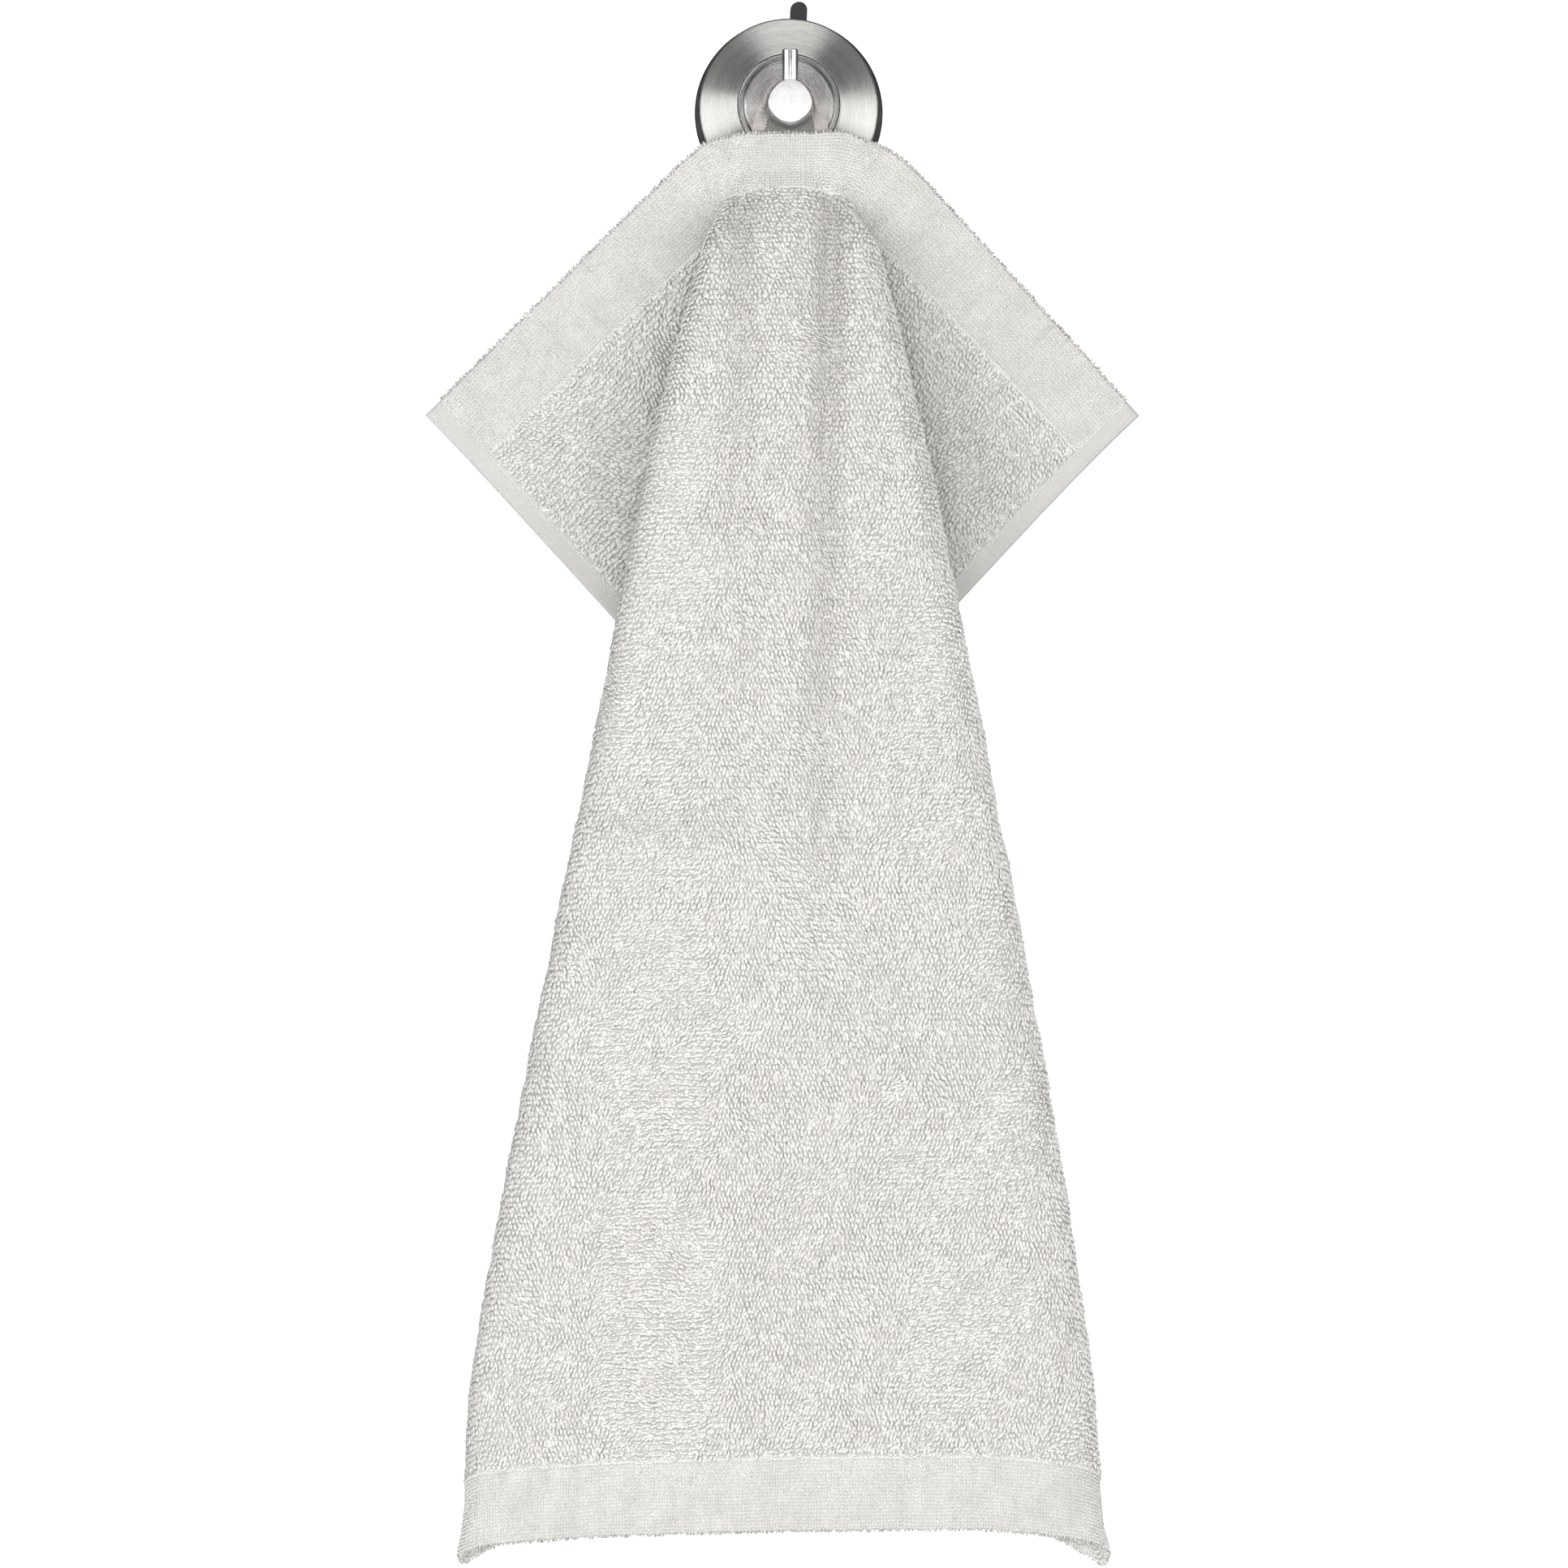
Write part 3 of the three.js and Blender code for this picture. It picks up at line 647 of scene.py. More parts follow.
def makeSheet():
    us = gridPlaces(-towel["width"] / 2, towel["width"] / 2, grid["across"])
    vs = gridPlaces(0, towel["length"], grid["down"])
    v, u = np.meshgrid(vs, us, indexing="ij")
    front = onSurface(u, v, 1, 0)[0]
    back = onSurface(u, v, -1, 0)[0]
    rows, columns = u.shape
    points = np.concatenate([front.reshape(-1, 3), back.reshape(-1, 3)]) * mm
    at = np.arange(rows * columns).reshape(rows, columns)
    behind = at + rows * columns
    quads = [
        np.stack([at[:-1, :-1], at[1:, :-1], at[1:, 1:], at[:-1, 1:]], -1).reshape(-1, 4),
        np.stack([behind[:-1, :-1], behind[:-1, 1:], behind[1:, 1:], behind[1:, :-1]], -1).reshape(-1, 4),
        np.stack([at[0, :-1], at[0, 1:], behind[0, 1:], behind[0, :-1]], -1),
        np.stack([at[-1, 1:], at[-1, :-1], behind[-1, :-1], behind[-1, 1:]], -1),
        np.stack([at[1:, 0], at[:-1, 0], behind[:-1, 0], behind[1:, 0]], -1),
        np.stack([at[:-1, -1], at[1:, -1], behind[1:, -1], behind[:-1, -1]], -1),
    ]
    mesh = meshFrom("towel_sheet", points, np.concatenate(quads))
    both = lambda a: np.concatenate([a.ravel(), a.ravel()])
    addUvs(mesh, "flat", np.stack([both(u), both(v)], -1))
    half = np.concatenate([np.zeros(rows * columns), np.full(rows * columns, 0.5)])
    bakeU = (both(u) / towel["width"] + 0.5) * 0.49 + 0.005 + half
    addUvs(mesh, "OFBake", np.stack([bakeU, 1 - both(v) / towel["length"]], -1))
    # painted shade in the creases, darker where they are deeper; none on the back face
    creaseShade = grid["sheetCreaseShade"] * creaseShadeDepth(u, v).ravel() / grid["deepestShade"]
    addNumbers(mesh, "creaseShade", np.concatenate([creaseShade, np.zeros(creaseShade.size)]))
    mesh.materials.append(clothFinish)
    return addObject("towel_sheet", mesh)


sheet = makeSheet()
print("sheet:", len(sheet.data.polygons), "faces")

# pile loops, knitted stitches and seams: one small yarn form, repeated along the cloth


def growForms(name, inputs, makeForm):
    # a tree that sets a form on every point of a mesh; lie and out turn it, chance and grow size it
    common = [("Spread", "Float", 0.2), ("Seed", "Int", 1), ("Yarn", "Material", None)]
    tree = growTree(name, inputs + common)
    given = tree.nodes.new("NodeGroupInput").outputs

    def worked(operation, first, second):
        return growNode(tree, "ShaderNodeMath", 0, {"operation": operation}, {0: first, 1: second})

    def stored(label, kind):
        settings = {"data_type": kind}
        return growNode(tree, "GeometryNodeInputNamedAttribute", "Attribute", settings, {"Name": label})

    lie = stored("lie", "FLOAT_VECTOR")
    out = stored("out", "FLOAT_VECTOR")
    ways = {"Primary Axis": lie, "Secondary Axis": out}
    axes = {"primary_axis": "Z", "secondary_axis": "Y"}
    limits = {
        2: worked("SUBTRACT", 1.0, given["Spread"]),
        3: worked("ADD", 1.0, given["Spread"]),
        "Seed": given["Seed"],
    }
    chance = growNode(tree, "FunctionNodeRandomValue", 1, {"data_type": "FLOAT"}, limits)
    sockets = {
        "Points": given["Geometry"],
        "Instance": makeForm(tree, given),
        "Rotation": growNode(tree, "FunctionNodeAxesToRotation", "Rotation", axes, ways),
        "Scale": worked("MULTIPLY", chance, stored("grow", "FLOAT")),
    }
    placed = growNode(tree, "GeometryNodeInstanceOnPoints", "Instances", None, sockets)
    real = growNode(tree, "GeometryNodeRealizeInstances", "Geometry", None, {"Geometry": placed})
    soft = growNode(tree, "GeometryNodeSetShadeSmooth", "Geometry", None, {"Geometry": real})
    dressed = {"Geometry": soft, "Material": given["Yarn"]}
    finished = growNode(tree, "GeometryNodeSetMaterial", "Geometry", None, dressed)
    tree.links.new(finished, tree.nodes.new("NodeGroupOutput").inputs["Geometry"])
    return tree


def yarnForm(tree, given):  # a short spindle
    ball = {"Segments": given["Sides"], "Rings": given["Rings"], "Radius": 0.5}
    sphere = growNode(tree, "GeometryNodeMeshUVSphere", "Mesh", None, ball)
    measures = {"X": given["Width"], "Y": given["Thickness"], "Z": given["Length"]}
    size = growNode(tree, "ShaderNodeCombineXYZ", 0, None, measures)
    return growNode(tree, "GeometryNodeTransform", "Geometry", None, {"Geometry": sphere, "Scale": size})


def loopForm(tree, given):  # a small ring of yarn
    def circle(corners, radius):
        sockets = {"Resolution": corners, "Radius": radius}
        return growNode(tree, "GeometryNodeCurvePrimitiveCircle", "Curve", None, sockets)

    curves = {"Curve": circle(6, given["Loop radius"]), "Profile Curve": circle(3, given["Yarn radius"])}
    return growNode(tree, "GeometryNodeCurveToMesh", "Mesh", None, curves)


spindle = [
    ("Width", "Float", 0.001),
    ("Thickness", "Float", 0.001),
    ("Length", "Float", 0.002),
    ("Sides", "Int", 4),
    ("Rings", "Int", 3),
]
yarnForms = growForms("yarn_forms", spindle, yarnForm)
ring = [("Loop radius", "Float", 0.0009), ("Yarn radius", "Float", 0.00035)]
edgeLoops = growForms("edge_loops", ring, loopForm)


def formSizes(size, corners, rings, spread, seed, yarn):  # size: a form's width, thickness and length
    width, thickness, length = size
    return {
        "Width": width * mm,
        "Thickness": thickness * mm,
        "Length": length * mm,
        "Sides": corners,
        "Rings": rings,
        "Spread": spread,
        "Seed": seed,
        "Yarn": yarn,
    }


def pointMesh(name, points, vectors, numbers):
    mesh = bpy.data.meshes.new(name)
    mesh.vertices.add(len(points))
    mesh.vertices.foreach_set("co", np.asarray(points, np.float32).ravel())
    for label, data in vectors.items():
        layer = mesh.attributes.new(label, "FLOAT_VECTOR", "POINT")
        layer.data.foreach_set("vector", np.asarray(data, np.float32).ravel())
    for label, data in numbers.items():
        addNumbers(mesh, label, data)
    return mesh


def readAttribute(mesh, name):
    found = mesh.attributes[name]
    wide = 3 if found.data_type == "FLOAT_VECTOR" else 1
    data = np.empty(len(mesh.vertices) * wide, np.float32)
    found.data.foreach_get("vector" if wide == 3 else "value", data)
    return data.reshape(-1, wide) if wide == 3 else data


def dropAttributes(piece, labels):
    for label in labels:
        piece.data.attributes.remove(piece.data.attributes[label])


bake = {"margin": 4, "ends": 3}


def layYarn(name, u, v, face, lie, lift, tone, grow, sizes):
    # lays yarn forms on the cloth; lie is each form's direction as shares of across, down and out
    point, across, down, out = onSurface(u, v, face, lift)
    way = unit(lie[:, 0:1] * across + lie[:, 1:2] * down + lie[:, 2:3] * out)
    root = point * mm
    vectors = {"lie": way, "out": out, "root": root, "acrossWay": across, "downWay": down}
    numbers = {"tone": tone, "grow": grow, "flatU": u, "flatV": v}
    source = pointMesh(name + "_points", root, vectors, numbers)
    piece = growPiece(name, source, yarnForms, sizes)
    mesh = piece.data
    places = np.empty(len(mesh.vertices) * 3, np.float32)
    mesh.vertices.foreach_get("co", places)
    off = places.reshape(-1, 3) - readAttribute(mesh, "root")
    flatU = readAttribute(mesh, "flatU") + (off * readAttribute(mesh, "acrossWay")).sum(1) / mm
    flatV = readAttribute(mesh, "flatV") + (off * readAttribute(mesh, "downWay")).sum(1) / mm
    low = v.min() - bake["ends"]
    high = v.max() + bake["ends"]
    bakeU = flatU / (towel["width"] + 2 * bake["margin"]) + 0.5
    addUvs(mesh, "OFBake", np.stack([bakeU, (high - flatV) / (high - low)], -1))
    dropAttributes(piece, [*vectors, "grow", "flatU", "flatV"])
    return piece


pile = {
    "across": 1.4,  # from loop to loop
    "down": 1.92,
    "size": (1.72, 1.4, 2.6),
    "spread": 0.13,
    "jitter": 0.25,
    "lift": 0.22,
    "liftSpread": 0.14,
    "tilt": 20 * degree,
    "tiltSpread": 9 * degree,
    "mostTilt": 70 * degree,
    "tone": 0.66,
    "toneHills": 0.15,
    "toneSpread": 0.09,
    "growHills": 0.12,
    "pileCreaseShade": 0.26,  # painted shade: how much darker the loops in the creases are made
    "parts": ("upper", "middle", "lower"),
    "cuts": (0, 0.3, 0.65, 1),
    "tucked": {"wide": 1.7, "stretch": 1.35},  # how much wider apart and larger where the folds hide them
    "back": {"wide": 1.6, "stretch": 1.3},
}
nap = {  # the way the loops lie; zones are in millimetres from the middle line and below the top
    "swirls": ((0.75, 24, 21), (0.5, 11, 22)),  # strength, size and seed
    "rows": 1.25,
    "rowsFrom": (18, 34),
    "rowsTo": (60, 76),
    "rowsBelow": (95, 130),
    "wing": 0.45,
    "wingFrom": (42, 60),
    "wingTo": (150, 190),
    "lean": 0.55,
    "leanFrom": (18, 40),
    "wander": 0.18,
    "fan": 0.5,
    "fanReach": 3.5,
    "toHem": 0.9,
    "hemZone": (22, 9),
}


def lattice(wide, draw):  # the places of the loops, wide times as far apart as on the front
    halfWide, low, high = pileEdges()
    pitchU = pile["across"] * wide
    pitchV = pile["down"] * wide
    rows = np.arange(low + pitchV / 2, high, pitchV)
    columns = np.arange(-halfWide + pitchU / 2, halfWide, pitchU)
    v, u = np.meshgrid(rows, columns, indexing="ij")
    u = u + (np.arange(len(rows)) % 2)[:, None] * pitchU / 2
    u = u + draw.uniform(-pile["jitter"], pile["jitter"], u.shape) * pitchU
    v = v + draw.uniform(-pile["jitter"], pile["jitter"], v.shape) * pitchV
    u = u.ravel()
    v = v.ravel()
    inside = (np.abs(u) < halfWide) & (v > low) & (v < high) & insidePile(u, v)
    return u[inside], v[inside]


def bySide(u, v, rule):  # a rule's answer for every place, read from the side of the towel it is on
    answer = np.zeros(u.shape, bool)
    for name, side in sides.items():
        here = (u < 0) if side["sign"] < 0 else (u >= 0)
        r, s = flatToSection(side, u, v)
        answer |= here & rule(tuckAt(name, r), r, s)
    return answer


def isSeen(k, r, s):  # where the front face shows: the front, its outer rolls and the wings
    return (s < k["start"] + 0.8 * k["out"]) | (s > k["wing"] - 0.4 * k["back"])


def isBuried(k, r, s):  # where the back face lies inside the tuck
    return (s > k["start"] + 2) & (s < k["wing"] - 0.6 * k["back"]) & (r < 440)


def napWay(u, v, face, draw):
    # the loops lie mostly down, with slow swirls, rows that lie across on the left and a fan at the bands
    point, across, down, out = clothFrame(u, v)
    out = out * face
    x = point[:, 0]
    z = point[:, 2]
    angle = sum(much * softNoise(x + 300, z, size, seed) for much, size, seed in nap["swirls"])
    leftRows = smooth(*nap["rowsFrom"], -x) * (1 - smooth(*nap["rowsTo"], -x))
    leftRows = leftRows * smooth(*nap["rowsBelow"], -z)
    leftWing = smooth(*nap["wingFrom"], -x) * (1 - smooth(*nap["wingTo"], -z))
    rightLean = smooth(*nap["leanFrom"], x)
    angle = angle - nap["rows"] * leftRows - nap["wing"] * leftWing - nap["lean"] * rightLean
    fromBand = np.minimum(v, towel["length"] - v) - bandAt(u, v)
    fan = np.exp(-((fromBand / nap["fanReach"]) ** 2))
    angle += draw.normal(0, 1, x.shape) * (nap["wander"] + nap["fan"] * fan)
    way = np.stack([np.sin(angle), np.zeros_like(x), -np.cos(angle)], -1)
    hemFar, hemNear = nap["hemZone"]
    toHem = smooth(towel["width"] / 2 - hemFar, towel["width"] / 2 - hemNear, np.abs(u))[:, None]
    way = way + across * np.sign(u)[:, None] * toHem * nap["toHem"]
    way = unit(way - out * (way * out).sum(1, keepdims=True))
    return (way * across).sum(1), (way * down).sum(1)


def layPile(name, places, face, form, seed, stretch=1.0):  # form: the corners and rings of each loop
    u, v = places
    draw = np.random.default_rng(seed)
    wayU, wayV = napWay(u, v, face, draw)
    tilt = np.clip(draw.normal(pile["tilt"], pile["tiltSpread"], u.shape), 0, pile["mostTilt"])
    lie = np.stack([wayU * np.cos(tilt), wayV * np.cos(tilt), np.sin(tilt)], -1)
    lift = pile["lift"] + draw.normal(0, pile["liftSpread"], u.shape)
    tone = pile["tone"] + pile["toneHills"] * softNoise(u, v, 5, 31)
    tone = tone + draw.normal(0, pile["toneSpread"], u.shape)
    # painted shade in the creases: the loops are made darker where the creases are deeper
    tone = np.clip(tone - pile["pileCreaseShade"] * creaseShadeDepth(u, v), 0, 1)
    grow = np.clip(1 + pile["growHills"] * softNoise(u, v, 9, 32), 0.8, 1.25) * stretch
    sizes = formSizes(pile["size"], *form, pile["spread"], seed, pileFinish)
    return layYarn(name, u, v, face, lie, lift, tone, grow, sizes)


def pileEdges():  # half the pile's width, and how far down it begins and ends
    band = towel["bandWidth"]
    halfWide = towel["width"] / 2 - towel["hemWidth"] - 0.3
    return halfWide, band - towel["archNarrows"], towel["length"] - band


def insidePile(u, v):  # with an uneven edge against the bands
    ragged = 0.9 * softNoise(u, v, 3.1, 41) + 0.5 * softNoise(u, v, 1.7, 42)
    return np.minimum(v, towel["length"] - v) > bandAt(u, v) + 0.2 + ragged


def makePile():
    pieces = []
    draw = np.random.default_rng(7)
    top, bottom = pileEdges()[1:]
    u, v = lattice(1, draw)
    shows = bySide(u, v, isSeen)
    cuts = [top + (bottom - top) * cut for cut in pile["cuts"]]
    for part, (low, high) in enumerate(zip(cuts, cuts[1:])):
        here = shows & (v >= low) & (v < high)
        name = "pile_front_" + pile["parts"][part]
        pieces.append(layPile(name, (u[here], v[here]), 1, (3, 3), 40 + part))
    u, v = lattice(pile["tucked"]["wide"], draw)
    here = ~bySide(u, v, isSeen)
    places = (u[here], v[here])
    pieces.append(layPile("pile_front_tucked", places, 1, (4, 2), 50, pile["tucked"]["stretch"]))
    u, v = lattice(pile["back"]["wide"], draw)
    here = ~bySide(u, v, isBuried)
    places = (u[here], v[here])
    pieces.append(layPile("pile_back", places, -1, (4, 2), 60, pile["back"]["stretch"]))
    return pieces


pilePieces = makePile()
print("pile:", {piece.name: len(piece.data.polygons) for piece in pilePieces})

band = {
    "column": 1.8,
    "row": 1.22,
    "firstRow": 0.9,
    "lastRow": 0.6,
    "leg": (0.74, 0.9, 1.75),
    "legApart": 0.26,  # of a column
    "lean": 0.52,
    "lift": 0.12,
    "rise": (0.1, 0.06),
    "hemGap": 7.2,
    "wander": (0.09, 0.1, 0.17),  # chance shifts of a leg across and down, and of its lean
    "drift": ((0.3, 9, 1), (0.35, 8, 2), (0.3, 6, 4)),  # slow shifts: how much, over what size, seed step
    "tone": 0.6,
    "toneHills": 0.25,
    # the next: painted light and shade of small folds, as streaks of tone across the band
    "foldShadeTone": 0.3,
    "toneSpread": 0.13,
}


def makeBand(name, atTop, face, coarse, seed):
    # knitted V stitches in columns; both legs of a V are one yarn form each
    draw = np.random.default_rng(seed)
    halfWide = towel["width"] / 2 - band["hemGap"]
    column = band["column"] * coarse
    columns = np.arange(-halfWide + column / 2, halfWide, column)
    rows = np.arange(band["firstRow"], towel["bandWidth"] - band["lastRow"], band["row"] * coarse)
    v, u = (a.ravel() for a in np.meshgrid(rows, columns, indexing="ij"))
    uneven = 1 + 1.2 * smooth(12, 22, v) * smooth(4, 14, np.abs(u)) * (1 - smooth(45, 70, np.abs(u)))
    drift = [much * softNoise(u, v, size, seed + step) for much, size, step in band["drift"]]
    legs = []
    for sign in (-1, 1):
        chance = [draw.normal(0, spread, u.shape) * uneven for spread in band["wander"]]
        legU = u + sign * band["legApart"] * column + chance[0] + drift[0]
        legs.append((legU, v + chance[1] + drift[1], -sign * (band["lean"] + chance[2]) + drift[2]))
    u, v, lean = (np.concatenate(part) for part in zip(*legs))
    v = np.clip(v, 0.5, towel["bandWidth"])
    keep = v < bandAt(u, v if atTop else v + towel["length"] / 2) - 0.2
    u, v, lean = u[keep], v[keep], lean[keep]
    if not atTop:
        v = towel["length"] - v
    lie = np.stack([np.sin(lean), np.cos(lean), draw.normal(*band["rise"], u.shape)], -1)
    tone = band["tone"] + band["toneHills"] * softNoise(u, v, 6, seed + 3)
    # painted light and shade of small folds, as streaks of tone across the band
    tone = tone + band["foldShadeTone"] * softNoise(u, 0.4 * v, 5, seed + 5)
    tone = np.clip(tone + draw.normal(0, band["toneSpread"], u.shape), 0, 1)
    sizes = formSizes([x * coarse for x in band["leg"]], 4, 2, 0.1, seed, bandFinish)
    lift = np.full(u.shape, band["lift"])
    return layYarn(name, u, v, face, lie, lift, tone, np.ones_like(u), sizes)


bandPieces = [
    makeBand("band_top_front", True, 1, 1.0, 70),
    makeBand("band_bottom_front", False, 1, 1.0, 75),
    makeBand("band_top_back", True, -1, 1.5, 80),
    makeBand("band_bottom_back", False, -1, 1.5, 85),
]
print("bands:", [len(piece.data.polygons) for piece in bandPieces])

seam = {
    "size": (0.75, 0.6, 2.5),
    "pitch": 2.15,
    "closing": 0.62,  # how much closer the stitches of the row that closes a band are
    "inset": 6.7,
    "lift": 0.08,
    "tone": (0.6, 0.15),
}


def makeSeams():
    # the light thread along the inner edge of each side hem, and the row that closes each band
    draw = np.random.default_rng(90)
    along = np.arange(3, towel["length"] - 2, seam["pitch"])
    rows = []
    for sign in (-1, 1):
        u = np.full(along.shape, sign * (towel["width"] / 2 - seam["inset"]))
        rows.append((u, along, np.tile([0.12 * sign, 1.0, 0.0], (len(along), 1))))
    halfWide = towel["width"] / 2 - towel["hemWidth"]
    across = np.arange(-halfWide, halfWide, seam["pitch"] * seam["closing"])
    for v in (0, towel["length"]):
        fromEnd = bandAt(across, np.full(across.shape, v)) - 0.3 + 0.35 * softNoise(across, across, 4, 91)
        u = across + draw.normal(0, 0.1, across.shape)
        way = np.stack([np.ones_like(across), draw.normal(0.45, 0.2, across.shape), 0 * across], -1)
        rows.append((u, np.abs(v - fromEnd), way))
    u, v, lie = (np.concatenate(part) for part in zip(*rows))
    sizes = formSizes(seam["size"], 5, 4, 0.1, 91, threadFinish)
    pieces = []
    for name, face in (("seams_front", 1), ("seams_back", -1)):
        lift = np.full(u.shape, seam["lift"])
        tone = np.clip(draw.normal(*seam["tone"], u.shape), 0, 1)
        pieces.append(layYarn(name, u, v, face, lie, lift, tone, np.ones_like(u), sizes))
    return pieces


seamPieces = makeSeams()

fringe = {
    "pitch": 1.35,
    "radius": 0.56,
    "yarn": 0.4,
    "layers": (-0.45, 0.45),
    "shift": 0.9,
    "wander": 0.2,
    "out": (-0.25, 0.3),
    "layerSpread": 0.12,
    "turnSpread": 0.5,
    # a low tone: painted shade on the edge loops
    "tone": (0.2, 0.15),
    "spread": 0.22,
}


def makeFringe(name, atTop, seed):
    # small loops that stand out of a folded end, in two rows through its thickness
    draw = np.random.default_rng(seed)
    halfWide = towel["width"] / 2 - towel["hemWidth"]
    rows = []
    for layer in fringe["layers"]:
        u = np.arange(-halfWide, halfWide, fringe["pitch"]) + layer * fringe["shift"]
        u = np.clip(u + draw.normal(0, fringe["wander"], u.shape), -halfWide, halfWide)
        v = np.full(u.shape, 0.0 if atTop else float(towel["length"]))
        point, across, down, out = clothFrame(u, v)
        outward = -down if atTop else down
        root = point + outward * draw.uniform(*fringe["out"], u.shape)[:, None]
        root = root + out * (layer + draw.normal(0, fringe["layerSpread"], u.shape))[:, None]
        lie = unit(across + out * draw.normal(0, fringe["turnSpread"], u.shape)[:, None])
        rows.append((root * mm, lie, outward, np.clip(draw.normal(*fringe["tone"], u.shape), 0, 1)))
    points, lies, outs, tones = (np.concatenate(part) for part in zip(*rows))
    numbers = {"tone": tones, "grow": np.ones(len(tones))}
    source = pointMesh(name + "_points", points, {"lie": lies, "out": outs}, numbers)
    sizes = {
        "Loop radius": fringe["radius"] * mm,
        "Yarn radius": fringe["yarn"] * mm,
        "Spread": fringe["spread"],
        "Seed": seed,
        "Yarn": pileFinish,
    }
    piece = growPiece(name, source, edgeLoops, sizes)
    dropAttributes(piece, ("lie", "out", "grow"))
    return piece


fringePieces = [makeFringe("fringe_top", True, 95), makeFringe("fringe_bottom", False, 97)]
print("fringe:", [len(piece.data.polygons) for piece in fringePieces])

# the tape loop over the peg

tape = {
    "width": 5,
    "thick": 1.5,
    "y": -20.2,
    "sewnY": -19.6,
    "spread": 11.4,
    "low": -24,
    "ride": 0.45,
    "leaves": 12 * degree,
    "turned": 0.62,
    "knee": 2 / 3,  # the share of a leg above the towel's top edge
    "bulge": 0.25,
    "bulgeWide": 0.15,
    "pegRadius": 7.9,
    "legSteps": 36,
    "arcSteps": 32,
    "around": 16,  # points round the tape's section
    "squareness": 0.6,
    "coreInset": (0.35, 0.3),  # how far the core stays inside the stitches, across and through
    "coreTone": 0.1,
}
stitch = {
    "size": (0.62, 0.5, 1.35),
    "pitch": 1.05,
    "columns": (-1.75, -0.6, 0.6, 1.75),
    "apart": 0.28,
    "faceInset": 0.22,
    "edgeInset": 0.3,
    "wander": 0.06,
    "tone": (0.6, 0.2),
    "seed": 111,
}


def tapeLeg(sign, ride):
    # from the peg's side down to the sewn end; the tape turns edge on as it goes
    leaves = tape["leaves"]
    knee = tape["knee"]
    start = Vector((sign * ride * math.cos(leaves), tape["y"], ride * math.sin(leaves)))
    hang = Vector((sign * tape["spread"], tape["sewnY"], towel["topZ"] - 1))
    end = Vector((sign * tape["spread"], tape["sewnY"], tape["low"]))
    line = []
    for i in range(1, tape["legSteps"] + 1):
        t = i / tape["legSteps"]
        at = start.lerp(hang, t / knee) if t < knee else hang.lerp(end, (t - knee) / (1 - knee))
        at.x += sign * tape["bulge"] * math.exp(-(((t - knee) / tape["bulgeWide"]) ** 2))
        twist = 90 * degree * smooth(0, tape["turned"], t)
        line.append((at, Vector((sign * math.sin(twist), -math.cos(twist), 0))))
    return line


def tapeFrames():  # the tape's middle line, with its directions along, across and through
    ride = tape["pegRadius"] + tape["ride"] + tape["thick"] / 2
    arc = []
    for i in range(tape["arcSteps"] + 1):
        angle = tape["leaves"] + (math.pi - 2 * tape["leaves"]) * i / tape["arcSteps"]
        at = Vector((-ride * math.cos(angle), tape["y"], ride * math.sin(angle)))
        arc.append((at, Vector((0, -1, 0))))
    line = tapeLeg(-1, ride)[::-1] + arc + tapeLeg(1, ride)
    frames = []
    for i, (at, flat) in enumerate(line):
        along = (line[min(i + 1, len(line) - 1)][0] - line[max(i - 1, 0)][0]).normalized()
        wide = (flat - along * flat.dot(along)).normalized()
        frames.append((at, along, wide, along.cross(wide).normalized()))
    return frames


def squared(x):  # a circle's measure bent towards a rounded rectangle's
    return math.copysign(abs(x) ** tape["squareness"], x)


def ringFaces(rows, around):  # the faces between closed rows of points
    faces = []
    for i in range(rows - 1):
        for j in range(around):
            k = (j + 1) % around
            faces.append((i * around + j, i * around + k, (i + 1) * around + k, (i + 1) * around + j))
    return faces


def makeCore(frames):
    around = tape["around"]
    halfWide = tape["width"] / 2 - tape["coreInset"][0]
    halfThick = tape["thick"] / 2 - tape["coreInset"][1]
    points = []
    for at, along, wide, thick in frames:
        for j in range(around):
            a = 2 * math.pi * j / around
            across = squared(math.cos(a)) * halfWide
            through = squared(math.sin(a)) * halfThick
            points.append((at + wide * across + thick * through) * mm)
    faces = ringFaces(len(frames), around)
    first = len(points)
    base = first - around
    points += [frames[0][0] * mm, frames[-1][0] * mm]
    for j in range(0, around, 2):
        a, b, c = j, (j + 1) % around, (j + 2) % around
        faces.append((first, c, b, a))
        faces.append((first + 1, base + a, base + b, base + c))
    core = addObject("tape_core", meshFrom("tape_core", points, faces))
    core.data.materials.append(tapeFinish)
    addNumbers(core.data, "tone", np.full(len(points), tape["coreTone"]))
    return core


